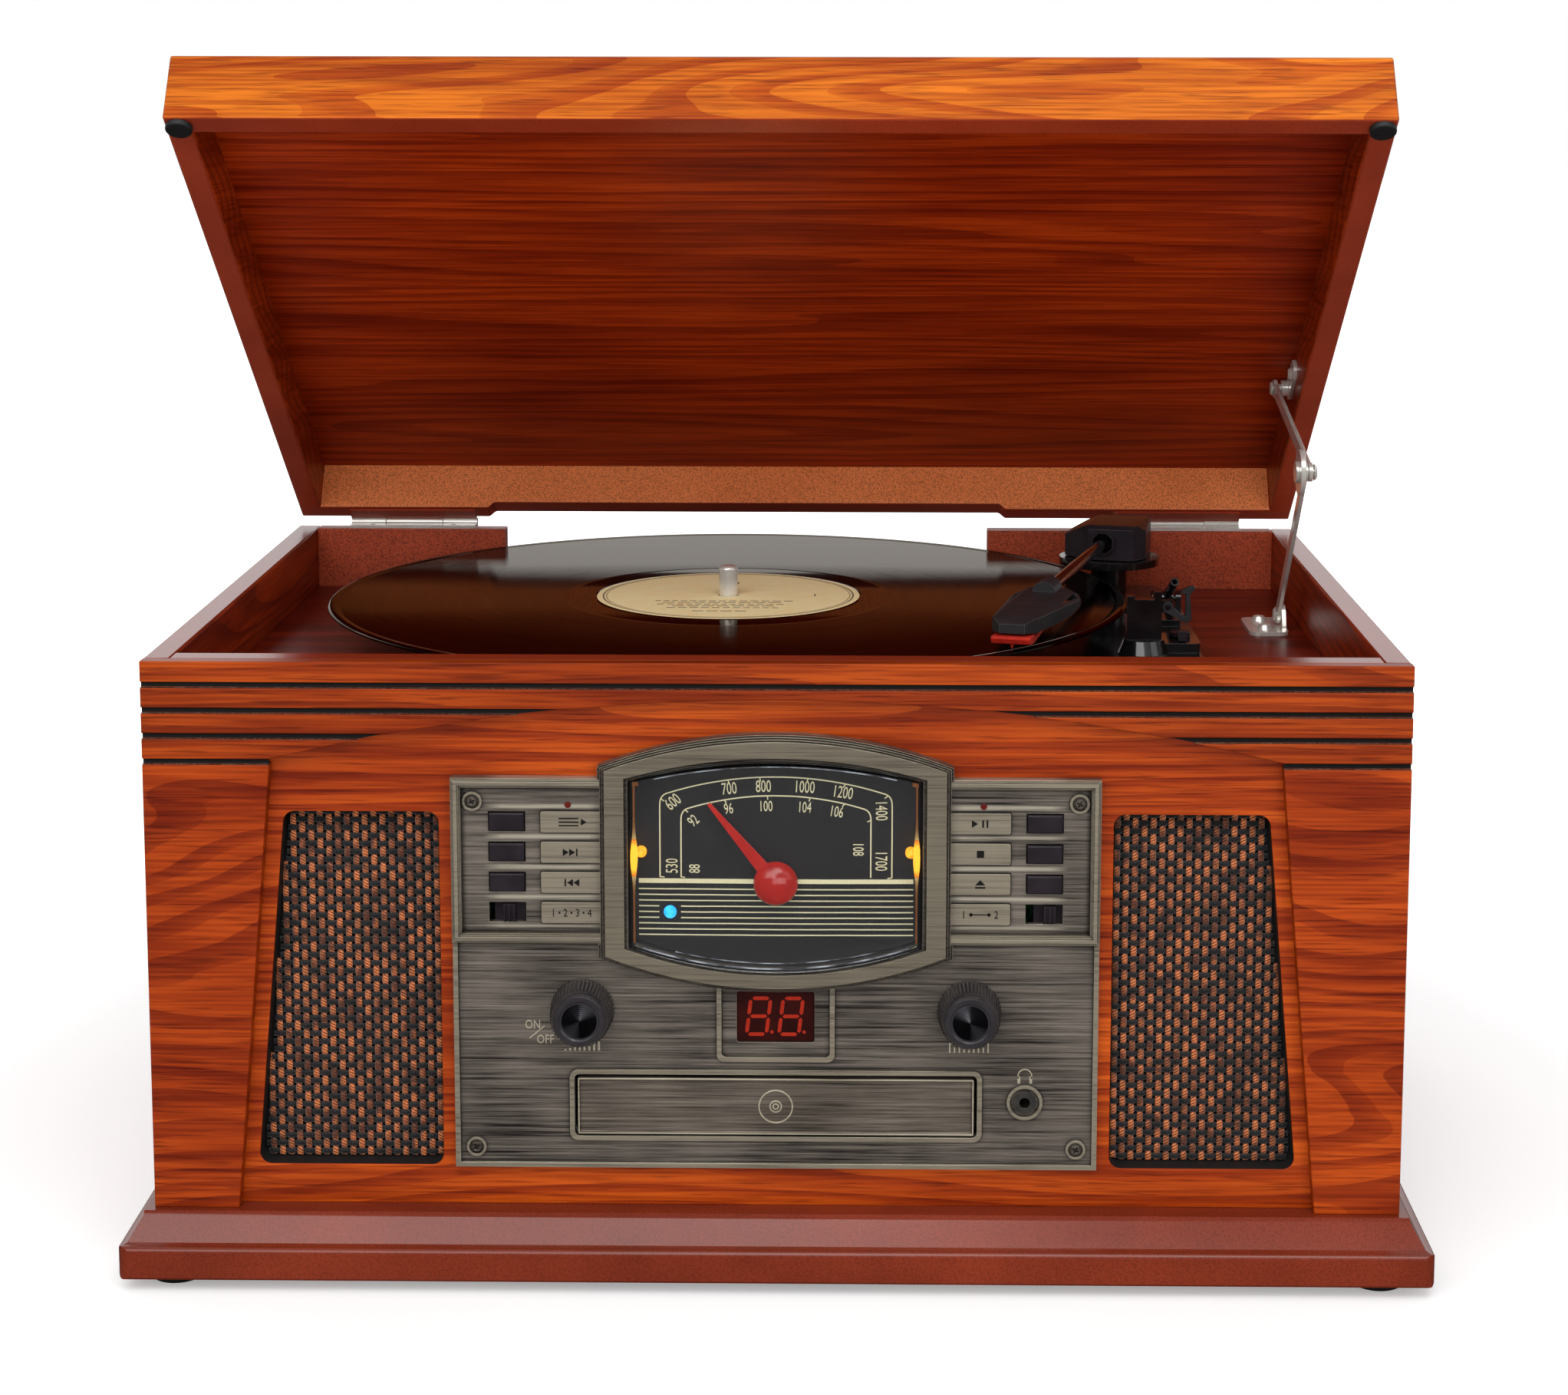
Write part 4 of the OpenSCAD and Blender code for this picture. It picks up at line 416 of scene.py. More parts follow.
# roller paint on the board, dead matt with a stipple of 0.8 mm
black_board = grained(finish_coat("black-painted board", Base_Color="#0c0a0a", Roughness=0.7,
                                  IOR=1.5), 1200.0, 0.00004)
inside = opening_outline(0.35)
turn = np.arange(YARN_POINTS) * 2 * np.pi / YARN_POINTS
for side, side_name in ((-1, "left"), (1, "right")):
    points, faces, numbers, uvs, first = [], [], [], [], 0
    for kind in (0, 1):                   # warp threads stand up, weft threads lie level
        pitch, other = (WARP, WEFT) if kind == 0 else (WEFT, WARP)
        wide, thick = WARP_HALF if kind == 0 else WEFT_HALF
        lo, hi = inside[:, kind].min(), inside[:, kind].max()
        start = inside[:, 1 - kind].min()
        for k in range(int((hi - lo) / pitch)):
            place = lo + pitch * (k + 0.5)
            span = reach(inside, kind, place)
            if span is None or span[1] - span[0] < WARP:
                continue
            # along the thread: over and under, as a sine of half a wave to a crossing
            run = np.arange(span[0] + 0.15, span[1] - 0.1, other / BEND_POINTS)
            phase = np.sin(np.pi * ((run - start) / other + k + kind))
            if kind == 0:                 # the stiff warp lies flat on its floats, then dives
                phase = np.tanh(STIFF * phase + 0.5) / np.tanh(STIFF + 0.5)
            squeezed = 1 - np.abs(phase)[:, None]      # 1 where it passes from side to side
            cross = place + wide * np.cos(turn) * (1.06 - 0.2 * squeezed)
            bulge = thick * np.sin(turn) * (0.84 + 0.16 * squeezed)
            deep = CLOTH_Y - SWING * phase[:, None] - bulge
            along = np.broadcast_to(run[:, None], cross.shape)
            xyz = (cross, deep, along) if kind == 0 else (along, deep, cross)
            points.append(np.stack([side * xyz[0], xyz[1], xyz[2]], -1).reshape(-1, 3))
            f = grid_faces(len(run), YARN_POINTS, round_cols=True, first=first)
            faces.append(f if (side > 0) == (kind == 0) else f[:, ::-1])
            numbers.append(np.full(len(f), kind))
            u = np.tile(np.arange(YARN_POINTS) / YARN_POINTS, len(run))
            uvs.append(np.stack([u, np.repeat(run, YARN_POINTS)], -1))
            first += len(u)
    faces, uv = np.concatenate(faces), np.concatenate(uvs)
    cloth = build("speaker_cloth_" + side_name, np.concatenate(points), faces, "cabinet", warp_yarn,
                  weft_yarn, slot="cloth", numbers=np.concatenate(numbers), easing=0)
    at_corner = uv[faces]
    # on the faces that close the turn round a thread, u goes on to 1 instead of back to 0
    lap = at_corner[:, :, 0].max(1) - at_corner[:, :, 0].min(1) > 0.5
    at_corner[lap, :, 0] += at_corner[lap, :, 0] < 0.5
    cloth.data.uv_layers.new(name="UVMap").data.foreach_set("uv", at_corner.reshape(-1))
    if side < 0:
        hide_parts("speaker_grilles")
    # the black lining: the opening's wall, a lip behind it, the board, the sheet under the cloth
    edge, lip = opening_outline(0.06), opening_outline(-2.5)
    n = len(edge)
    rings = [np.stack([side * o[:, 0], np.full(n, y), o[:, 1]], -1) for o, y in (
        (edge, WALL_FRONT), (edge, WALL_BACK), (lip, LIP), (lip, BOARD_BACK), (edge, SHEET_Y))]
    lining = [list(f) for f in grid_faces(4, n, round_cols=True)]
    lining += [list(range(3 * n, 4 * n)), list(range(4 * n, 5 * n))]
    lining = lining if side > 0 else [f[::-1] for f in lining]
    build("speaker_board_" + side_name, np.concatenate(rings), lining, "cabinet", black_board,
          slot="matt_black", smooth=False)

# stove-enamelled steel, half matt
driver_paint = finish_coat("grey driver paint", Base_Color="#2b2b2d", Roughness=0.45, IOR=1.5)[0]
eased("speakers", 0.3, driver_paint)

# ---- Control panel ----
# One moulded plate, plated and antiqued like old pewter: a dark brown patina is left in the hollows,
# deepened by painted shade in their corners, and rubbed off the raised beads, frames and label
# plates, and level brush strokes run through both.
PANEL_Y = 3.0                         # depth of the plate's face
ROWS_Z, ROW_PITCH = 159.0, 10.3       # height of the top row of buttons, and from row to row


def brushed_pewter(name, dark, pale, rough, low_y=None, lit=None, hollow=1.3, worn_rows=False):
    """Antiqued plating, brushed. The strokes are noise drawn out 60 times along the level, 0.9 mm
    wide with finer ones in them; a slow cloud leaves more patina in places. Where low_y is given,
    everything that stands in front of that depth (metres) turns to the rubbed colour lit over
    0.6 mm. Patina and painted shade fill every corner narrower than hollow millimetres, where
    ambient occlusion darkens the colour. worn_rows adds the long rubs between the buttons: a cosine
    over the height, kept to both sides of the dial by three windows."""
    m, t, s, at = finish_coat(name, Metallic=0.6, Roughness=rough)
    strokes = add(t, "Mapping", {"Vector": at, "Scale": (17.0, 900.0, 1000.0)}).outputs[0]
    stroke = add(t, "TexNoise", {"Vector": strokes, "Scale": 1.1, "Detail": 4.0, "Roughness": 0.7})
    broad = add(t, "TexNoise", {"Vector": strokes, "Scale": 0.22, "Detail": 2.0})
    cloud = add(t, "TexNoise", {"Vector": at, "Scale": 28.0, "Detail": 2.0})
    share = add(t, "Math", {0: broad.outputs["Fac"], 1: 0.1, 2: stroke.outputs["Fac"]},
                operation="MULTIPLY_ADD")
    share = add(t, "Math", {0: cloud.outputs["Fac"], 1: 0.32, 2: share.outputs[0]},
                operation="MULTIPLY_ADD").outputs[0]
    colour = add(t, "ValToRGB", {0: share}, [(0.54, dark), (0.9, pale)]).outputs[0]
    if low_y is not None:
        depth = add(t, "SeparateXYZ", {0: at}).outputs["Y"]
        raised = add(t, "MapRange", {0: depth, 1: low_y, 2: low_y - 0.0006, 3: 0.0, 4: 1.0})
        uneven = add(t, "MapRange", {0: share, 1: 0.5, 2: 0.8, 3: 0.35, 4: 1.0})
        worn = add(t, "Math", {0: raised.outputs[0], 1: uneven.outputs[0]}, operation="MULTIPLY")
        colour = mixed(t, worn.outputs[0], colour, lit)
    # patina and painted shade: ambient occlusion darkens the colour nearly to black in every corner
    # narrower than hollow
    corner = add(t, "AmbientOcclusion", {"Distance": hollow / 1000}, samples=8, only_local=True)
    patina_and_shade = add(t, "MapRange", {0: corner.outputs["AO"], 1: 0.5, 2: 0.96, 3: 0.95, 4: 0.0})
    colour = mixed(t, patina_and_shade.outputs[0], colour, "#0f0c0b")
    if worn_rows:
        place = add(t, "SeparateXYZ", {0: at})
        aside = add(t, "Math", {0: place.outputs["X"]}, operation="ABSOLUTE").outputs[0]
        height = place.outputs["Z"]
        step = 2000 * math.pi / ROW_PITCH
        row = add(t, "Math", {0: height, 1: step, 2: -(ROWS_Z + ROW_PITCH / 2) / 1000 * step},
                  operation="MULTIPLY_ADD")
        row = add(t, "Math", {0: row.outputs[0]}, operation="COSINE")
        rub = add(t, "MapRange", {0: row.outputs[0], 1: 0.82, 2: 1.0, 3: 0.0, 4: 1.0}).outputs[0]
        # each window opens from its first place, in metres, to its second
        windows = ((aside, 0.056, 0.062), (aside, 0.097, 0.091), (height, 0.1225, 0.1235))
        for where, none, full in windows:
            window = add(t, "MapRange", {0: where, 1: none, 2: full, 3: 0.0, 4: 1.0}).outputs[0]
            rub = add(t, "Math", {0: rub, 1: window}, operation="MULTIPLY").outputs[0]
        patchy = add(t, "MapRange", {0: share, 1: 0.52, 2: 0.72, 3: 0.2, 4: 1.0}).outputs[0]
        rub = add(t, "Math", {0: rub, 1: patchy}, operation="MULTIPLY").outputs[0]
        colour = mixed(t, rub, colour, "#cfc6b2")
    t.links.new(colour, s.inputs["Base Color"])
    bump = add(t, "Bump", {"Height": stroke.outputs["Fac"], "Distance": 0.00006, "Strength": 0.6})
    t.links.new(bump.outputs[0], s.inputs["Normal"])
    return m


pewter = brushed_pewter("antiqued brushed plating", "#2a2423", "#a3988c", 0.38,
                        (PANEL_Y - 0.2 - MOVED) / 1000, "#aca18d", hollow=2.2, worn_rows=True)
rubbed = brushed_pewter("plating rubbed bright at the edges", "#c9bea4", "#f4ead0", 0.3)
eased("control_panel", 0.6, pewter, rubbed, steps=1, angle=40)
screw_pewter = brushed_pewter("blackened screw heads", "#3a3431", "#8d8377", 0.3, hollow=0.8)
eased("case_screws", 0.12, screw_pewter)


def prism(outline, y_front, y_back):
    """Points and faces of a flat shape between two depths: outline is (x, z) points that run
    anticlockwise as seen from the front."""
    outline = np.asarray(outline, float)
    n = len(outline)
    points = np.concatenate([np.stack([outline[:, 0], np.full(n, y), outline[:, 1]], -1)
                             for y in (y_front, y_back)])
    return points, [list(range(n))] + [list(range(2 * n - 1, n - 1, -1))] + [
        [(i + 1) % n, i, n + i, n + (i + 1) % n] for i in range(n)]


def joined(parts):
    """Several (points, faces) as one."""
    points, faces, first = [], [], 0
    for p, f in parts:
        points.append(p)
        faces += [[first + i for i in face] for face in f]
        first += len(p)
    return np.concatenate(points), faces


def band(path, width, closed):
    """The two sides of a line of that width along a path of (x, z) points: each point is moved to
    both sides along the bisector of its corner, by half the width over the corner's cosine."""
    path = np.asarray(path, float)
    ahead, behind = np.roll(path, -1, 0) - path, path - np.roll(path, 1, 0)
    if not closed:
        ahead[-1], behind[0] = behind[-1], ahead[0]
    ahead /= np.linalg.norm(ahead, axis=1)[:, None]
    behind /= np.linalg.norm(behind, axis=1)[:, None]
    mid = ahead + behind
    mid /= np.linalg.norm(mid, axis=1)[:, None]
    out = width / 2 / np.maximum((mid * ahead).sum(1), 0.4)
    side = np.stack([-mid[:, 1], mid[:, 0]], -1) * out[:, None]
    return path + side, path - side


def line(path, width, y_front, y_back, closed=False):
    """A line of that width between two depths, as quads from one end of the path to the other."""
    left, right = band(path, width, closed)
    n = len(left)
    corners = ((right, y_front), (left, y_front), (left, y_back), (right, y_back))
    points = np.concatenate([np.stack([e[:, 0], np.full(n, y), e[:, 1]], -1) for e, y in corners])
    i = np.arange(n if closed else n - 1)
    j = (i + 1) % n
    faces = [f for k in range(4) for f in np.stack([k * n + i, k * n + j, (k + 1) % 4 * n + j,
                                                    (k + 1) % 4 * n + i], -1)]
    if not closed:
        faces += [np.array([3, 2, 1, 0]) * n, np.array([0, 1, 2, 3]) * n + n - 1]
    return points, [list(map(int, f)) for f in faces]


def circle(x, z, r, n):
    """n points round a point, anticlockwise."""
    a = np.arange(n) * 2 * np.pi / n
    return np.stack([x + r * np.cos(a), z + r * np.sin(a)], -1)


def ring(x, z, r, width, y_front, y_back, n):
    """A flat ring about a point."""
    return line(circle(x, z, r, n), width, y_front, y_back, closed=True)


def disc(x, z, r, y_front, y_back, n=20):
    """A flat disc about a point."""
    return prism(circle(x, z, r, n), y_front, y_back)


def lettering(text, high, at, y_front, y_back, turned=0.0, squeeze=0.8):
    """Figures of that height about a point (x, z), turned by an angle in degrees anticlockwise and
    squeezed in width, as (points, faces): a text object made a mesh and then placed."""
    curve = bpy.data.curves.new("figures", "FONT")
    curve.body, curve.align_x, curve.align_y = text, "CENTER", "CENTER"
    curve.extrude, curve.resolution_u = 0.5, 3
    maker = bpy.data.objects.new("figures", curve)
    root.objects.link(maker)
    graph = bpy.context.evaluated_depsgraph_get()
    mesh = bpy.data.meshes.new_from_object(maker.evaluated_get(graph))
    co = np.empty(len(mesh.vertices) * 3)
    mesh.vertices.foreach_get("co", co)
    co = co.reshape(-1, 3)
    faces = [list(p.vertices) for p in mesh.polygons]
    bpy.data.objects.remove(maker)
    bpy.data.meshes.remove(mesh)
    bpy.data.curves.remove(curve)
    flat = co[:, :2] - (co[:, :2].max(0) + co[:, :2].min(0)) / 2
    flat *= high / (flat[:, 1].max() - flat[:, 1].min())
    flat[:, 0] *= squeeze
    a = math.radians(turned)
    x = at[0] + flat[:, 0] * math.cos(a) - flat[:, 1] * math.sin(a)
    z = at[1] + flat[:, 0] * math.sin(a) + flat[:, 1] * math.cos(a)
    y = np.where(co[:, 2] > 0, y_front, y_back)
    return np.stack([x, y, z], -1), faces


# Marks of the controls: a dark line round each label plate, patina with painted shade at the
# plate's foot, and plain signs on the plates.
LABEL_X, LABEL_W, LABEL_H = 67.8, 20.24, 7.32
LABEL_Y = PANEL_Y - 0.8                   # a label plate's face
ON_LABEL = (LABEL_Y - 0.1, LABEL_Y + 0.1)
# patina is dull and almost black, rubbed through in specks of 0.7 mm
ink = mottled(finish_coat("dark patina in the marks and painted shade round the plates", Metallic=0.3, Roughness=0.6),
              1500.0, (0.35, "#0b0908"), (0.75, "#1d1815"))


def wedge(x, z, way):
    """A triangle 2 mm long and 2.5 mm high that points left (-1) or right (1)."""
    tip = [[x - way, z - 1.25], [x + way, z], [x - way, z + 1.25]]
    return prism(tip if way > 0 else tip[::-1], *ON_LABEL)


def box_at(x0, z0, x1, z1, depth):
    """A rectangle between two corners, of the given depths."""
    return prism([[x0, z0], [x1, z0], [x1, z1], [x0, z1]], *depth)


def bar(x, z, wide, high=2.5):
    """An upright bar on a label plate, about a point."""
    return box_at(x - wide / 2, z - high / 2, x + wide / 2, z + high / 2, ON_LABEL)


rows = ROWS_Z - ROW_PITCH * np.arange(4)
x = -LABEL_X                              # the left side from the top
programme, forward, back, source = rows
marks = [box_at(x - 4, z - 0.22, x + 2.6, z + 0.22, ON_LABEL)
         for z in programme + np.array([-1.2, 0, 1.2])]
arrow = [[x + 3.4, programme - 1.2], [x + 5.2, programme], [x + 3.4, programme + 1.2]]
marks += [prism(arrow, *ON_LABEL),
          wedge(x - 1.7, forward, 1), wedge(x + 0.4, forward, 1), bar(x + 1.95, forward, 0.5),
          wedge(x + 1.7, back, -1), wedge(x - 0.4, back, -1), bar(x - 1.95, back, 0.5)]
marks += [lettering(str(k + 1), 2.6, (x - 6 + 4 * k, source), *ON_LABEL) for k in range(4)]
marks += [disc(x - 4 + 4 * k, source, 0.35, *ON_LABEL, n=10) for k in range(3)]
x = LABEL_X                               # the right side
play, stop, eject, waves = rows
marks += [wedge(x - 1.9, play, 1), bar(x + 0.8, play, 0.6), bar(x + 2.2, play, 0.6),
          bar(x, stop, 2.4, 2.4),
          prism([[x - 1.7, eject - 0.25], [x + 1.7, eject - 0.25], [x, eject + 1.5]], *ON_LABEL),
          box_at(x - 1.7, eject - 1.35, x + 1.7, eject - 0.8, ON_LABEL),
          lettering("1", 2.6, (x - 5.4, waves), *ON_LABEL),
          lettering("2", 2.6, (x + 5.4, waves), *ON_LABEL),
          line([[x - 3, waves], [x + 3, waves]], 0.35, *ON_LABEL),
          disc(x - 3, waves, 0.6, *ON_LABEL), disc(x + 3, waves, 0.6, *ON_LABEL)]
# the dark line round each plate: patina, and painted shade where the plate meets the panel
for x in (-LABEL_X, LABEL_X):
    for z in rows:
        w, h = LABEL_W / 2, LABEL_H / 2
        marks.append(line([[x - w, z - h], [x + w, z - h], [x + w, z + h], [x - w, z + h]], 0.22,
                          PANEL_Y - 0.06, PANEL_Y + 0.02, closed=True))
build("label_marks", *joined(marks), "cabinet", ink, slot="matt_black", smooth=False)

# ON and OFF beside the volume knob, a swelling wedge of ticks for louder below it, even ticks for
# tuning below the other, and the outline of headphones over their socket, all raised and worn.
KNOB_X, KNOB_Z = 64.5, 94.7
JACK_X, JACK_Z = 83.3, 63.3
TICK_PITCH = 1.6
RAISED = (PANEL_Y - 0.28, PANEL_Y + 0.1)
signs = [lettering("ON", 2.9, (-81.2, KNOB_Z - 5.2), *RAISED),
         lettering("OFF", 2.9, (-77.0, KNOB_Z - 10.3), *RAISED),
         line([[-82.3, KNOB_Z - 10.0], [-77.3, KNOB_Z - 5.8]], 0.3, *RAISED)]
for k in range(8):
    x = -KNOB_X - 6.2 + TICK_PITCH * k
    signs.append(box_at(x, KNOB_Z - 14.2, x + 0.7, KNOB_Z - 13.8 + 0.4 * k, RAISED))
for k in range(9):                        # every fourth tick is long
    x = KNOB_X - 6.6 + TICK_PITCH * k
    tip = KNOB_Z - (10.9 if k % 4 == 0 else 12.4)
    signs.append(box_at(x, KNOB_Z - 14.2, x + 0.5, tip, RAISED))
a = np.linspace(math.radians(205), math.radians(-25), 15)
headband = np.stack([JACK_X + 2.3 * np.cos(a), JACK_Z + 9.2 + 2.3 * np.sin(a)], -1)
signs.append(line(headband, 0.4, *RAISED))
signs += [line([[x, JACK_Z + 6.6], [x, JACK_Z + 9.0]], 0.9, *RAISED)
          for x in (JACK_X - 2, JACK_X + 2)]
build("raised_signs", *joined(signs), "cabinet", rubbed, slot="pewter", smooth=False)

# ---- Dial ----
# A stepped border of the same plating holds a clear acrylic cover. Behind it are a printed black
# sheet with cream scales, two amber lamps whose light runs along the cover's walls, a blue lamp,
# and the red pointer on its domed hub.
BEZEL_Y = -2.0                        # depth of the border's face
DIAL_W, DIAL_H, DIAL_Z, FACE_Y = 97.0, 56.5, 117.5, 8.0
DIAL_RISE, DIAL_DROP = 6.4, 8.4       # how far its upper and its lower edge bow out
HUB_Z = 138.1
border_pewter = brushed_pewter("antiqued brushed plating of the dial's border",
                               "#2e2826", "#6c635a", 0.34, (BEZEL_Y + 0.7 - MOVED) / 1000,
                               "#978d7a", hollow=0.9)
eased("dial_bezel", 0.34, border_pewter, rubbed, steps=1, angle=40)

# polished PMMA, IOR 1.49, whose slow waves bend what is behind it a little
acrylic = grained(finish_coat("polished clear acrylic", Base_Color="#ffffff", Roughness=0.02,
                              IOR=1.49, Transmission_Weight=1.0), 60.0, 0.00005, strength=0.4)
eased("dial_lens", 0.5, acrylic, angle=40).visible_shadow = False      # the light passes through it


def dial_edge(x, lower):
    """Height of the dial opening's arc over x, of the upper or the lower edge."""
    bulge = DIAL_DROP if lower else DIAL_RISE
    r = (DIAL_W ** 2 / 4 + bulge ** 2) / (2 * bulge)
    bow = np.sqrt(r * r - np.asarray(x) ** 2) - (r - bulge)
    return DIAL_Z - bow if lower else DIAL_Z + DIAL_H + bow


# screen ink is matt: black over the sheet, with dust, and cream figures with a faint painted glow
# for the lamps' light on them
printed_sheet = mottled(finish_coat("black screen-printed sheet", Roughness=0.5, IOR=1.5),
                        2000.0, (0.3, "#0b090c"), (0.8, "#121013"))
eased("dial_face", 0.1, printed_sheet)
# the cream ink emits a little light of its own: a painted glow, not a lamp
cream_ink_painted_glow = mottled(finish_coat("cream screen ink with a painted glow", Roughness=0.55, IOR=1.5,
                                Emission_Color="#e6dfb4", Emission_Strength=0.12),
                    1800.0, (0.3, "#dcd4a6"), (0.7, "#ece6c0"))
PRINT = (FACE_Y - 0.06, FACE_Y + 0.03)


def frame_line(half, foot, shoulder, top, corner):
    """An upright line, a rounded corner, an arc over the middle, and the same down the other side,
    as (x, z) about the hub. The corner is a quadratic curve."""
    r = (half ** 2 + (top - shoulder) ** 2) / (2 * (top - shoulder))
    x = np.linspace(-half + corner, half - corner, 41)
    z = np.sqrt(r * r - x * x) - r + top
    bend = np.linspace(0, 1, 7)[1:-1, None]
    a, b = np.array([-half, shoulder - corner]), np.array([-half, shoulder + 0.4])
    c = np.array([x[0], z[0]])
    left = (1 - bend) ** 2 * a + 2 * bend * (1 - bend) * b + bend ** 2 * c
    right = left[::-1] * [-1, 1]
    return np.concatenate([[[-half, foot], a], left, np.stack([x, z], -1), right,
                           [a * [-1, 1], [half, foot]]])


outer, inner = frame_line(38.3, 1.2, 28.6, 35.1, 3.0), frame_line(31.3, 1.2, 23.6, 28.8, 3.0)
art = [line(path + [0, HUB_Z], 0.42, *PRINT) for path in (outer, inner)]
# figures of the outer and the inner scale: their height, then text, x, z from the hub, and turn
scales = ((4.0, (("530", -34.4, 4.9, 90), ("600", -34.0, 26.6, 40), ("700", -15.4, 31.2, 6),
                 ("800", -4.1, 32.0, 1.5), ("1000", 9.7, 31.8, -3), ("1200", 22.3, 30.0, -9),
                 ("1400", 34.8, 23.6, -88), ("1700", 34.8, 6.6, -90))),
          (3.6, (("88", -26.9, 4.0, 90), ("92", -27.3, 20.3, 42), ("96", -15.6, 24.4, 8),
                 ("100", -3.1, 25.3, 1.5), ("104", 9.7, 25.0, -3), ("106", 20.2, 23.5, -9),
                 ("108", 27.2, 10.6, -90))))
for high, figures in scales:
    for text, x, z, turned in figures:
        art.append(lettering(text, high, (x, HUB_Z + z), *PRINT, turned=turned, squeeze=0.6))


def ticks(path, bearings, long):
    """Short strokes inwards from a scale's line, each at its point nearest to a bearing, in degrees
    from straight up, from the hub."""
    out = []
    for bearing in np.radians(bearings):
        ray = np.array([math.sin(bearing), math.cos(bearing)])
        aside = np.abs(path @ [ray[1], -ray[0]])
        p = path[np.argmin(np.where(path @ ray > 0, aside, np.inf))]
        out.append(line(np.array([p - ray * long, p + ray * 0.2]) + [0, HUB_Z], 0.36, *PRINT))
    return out


art += ticks(outer, (-83, -54, -26, -7.5, 17, 36, 52, 78), 1.5)
art += ticks(inner, (-79, -52, -31, -7, 21, 40, 66), 1.3)
# the bright line level with the hub, and nine thin lines below it that end at the dial's lower edge
# and leave a gap round the blue lamp
AMBER_Z, BLUE_X, BLUE_Z = HUB_Z + 9.8, -35.0, HUB_Z - 10.7
LINE_END = 45.4
art.append(box_at(-LINE_END, HUB_Z - 0.95, LINE_END, HUB_Z + 0.6, PRINT))
across = np.linspace(0, 46, 200)
for z in HUB_Z - 2.9 - 1.95 * np.arange(9):
    free = dial_edge(across, True) < z - 1.2
    half = min(LINE_END, across[free][-1]) if free.any() else 0
    if half < 12:
        continue
    if abs(z - BLUE_Z) < 3.2 and half > 4 - BLUE_X:
        spans = [(-half, BLUE_X - 3.6), (BLUE_X + 3.6, half)]
    else:
        spans = [(-half, half)]
    art += [box_at(x0, z - 0.2, x1, z + 0.2, PRINT) for x0, x1 in spans]
build("dial_print", *joined(art), "cabinet", cream_ink_painted_glow, slot="matt_black", smooth=False)

# Lamps of coloured glass: two amber ones, a blue one with a dark rim, and two dull red ones by the
# buttons.


def glowing(name, colour, strength, base):
    """Coloured lens lit from inside: it emits its colour, brightest where fine noise thins it."""
    m, t, s, at = finish_coat(name, Base_Color=base, Roughness=0.15, IOR=1.5,
                              Emission_Strength=strength)
    flow = add(t, "TexNoise", {"Vector": at, "Scale": 700.0})
    core = add(t, "ValToRGB", {0: flow.outputs["Fac"]}, [(0.2, base), (0.6, colour)])
    t.links.new(core.outputs[0], s.inputs["Emission Color"])
    return m


amber_glass = glowing("lit amber glass", "#f8a92c", 1.7, "#c2660a")
blue_glass = glowing("lit blue lamp", "#38b4ff", 1.6, "#1a7fd0")
red_glass = glowing("dull red lamp", "#7a1c12", 0.25, "#4c1410")
eased("indicator_lamps", 0.1, amber_glass, blue_glass, red_glass, pick=lambda c, n: np.select(
    [np.hypot(c[:, 0] * 1000 - BLUE_X, c[:, 2] * 1000 - BLUE_Z) < 4, c[:, 2] * 1000 > ROWS_Z],
    [1, 2], 0))

# The lamps' light caught in the acrylic: a glow on each side wall of the cover, brightest level with
# the lamp, and small glints at its upper corners. It falls off as 2.718 to the power of minus the
# square of 184 times the distance in metres.
caught, t, s, at = finish_coat("amber light in the acrylic wall", Base_Color="#6a3a08",
                               Roughness=0.3, IOR=1.49, Emission_Strength=1.7)
off = add(t, "Math", {0: add(t, "SeparateXYZ", {0: at}).outputs["Z"], 1: AMBER_Z / 1000},
          operation="SUBTRACT").outputs[0]
square = add(t, "Math", {0: off, 1: off}, operation="MULTIPLY")
far = add(t, "Math", {0: square.outputs[0], 1: -34000.0}, operation="MULTIPLY")
fade = add(t, "Math", {0: 2.718, 1: far.outputs[0]}, operation="POWER")
glow = add(t, "ValToRGB", {0: fade.outputs[0]},
           [(0.0, "#241204"), (1.0, "#fff2a8"), (0.25, "#a85206"), (0.6, "#ffb42e")])
t.links.new(glow.outputs[0], s.inputs["Emission Color"])
streaks = []
for side in (-1, 1):
    z = np.linspace(DIAL_Z + 1.5, DIAL_Z + DIAL_H - 1.5, 30)
    half = 0.3 + 0.9 * np.exp(-((z - AMBER_Z) / 6.5) ** 2)        # widest at the lamp
    x = side * (DIAL_W / 2 - 1.9)
    down = np.stack([x - half, z], -1)[::-1]
    streaks.append(prism(np.concatenate([np.stack([x + half, z], -1), down]), -0.6, 1.2))
    corner = [side * (DIAL_W / 2 - 2.4), DIAL_Z + DIAL_H - 1.2]
    glint = corner + np.array([[-1.1, -0.5], [1.1, -0.7], [0.9, 0.5], [-0.9, 0.7]])
    streaks.append(prism(glint, -0.8, 0.6))
build("lamp_light", *joined(streaks), "cabinet", caught, slot="lamp")

# The polished rim of the cover catches the room as thin pale arcs, two along its foot and one along
# its top.
rim_light = mottled(finish_coat("polished rim of the acrylic", Roughness=0.12, IOR=1.49),
                    130.0, (0.4, "#3c3e44"), (0.62, "#c9ced6"))
arcs = []
# whether an arc is at the foot, how far it lies inside the edge, its half length and its width
for low, inset, half, wide in (
        (True, 1.5, 44.0, 0.5), (True, 3.4, 33.0, 0.3), (False, 1.5, 40.0, 0.3)):
    x = np.linspace(-half, half, 41)
    z = dial_edge(x, low) + (inset if low else -inset)
    arcs.append(line(np.stack([x, z], -1), wide, -1.5, -1.3))
build("lens_rim_light", *joined(arcs), "cabinet", rim_light, slot="clear")

# moulded glossy, so that its dome shows one sharp highlight
pointer_red = mottled(finish_coat("glossy red moulded plastic", Roughness=0.18, IOR=1.5,
                                  Coat_Weight=0.4), 90.0, (0.3, "#b01d18"), (0.7, "#cc2a20"))
eased("dial_pointer", 0.15, pointer_red)

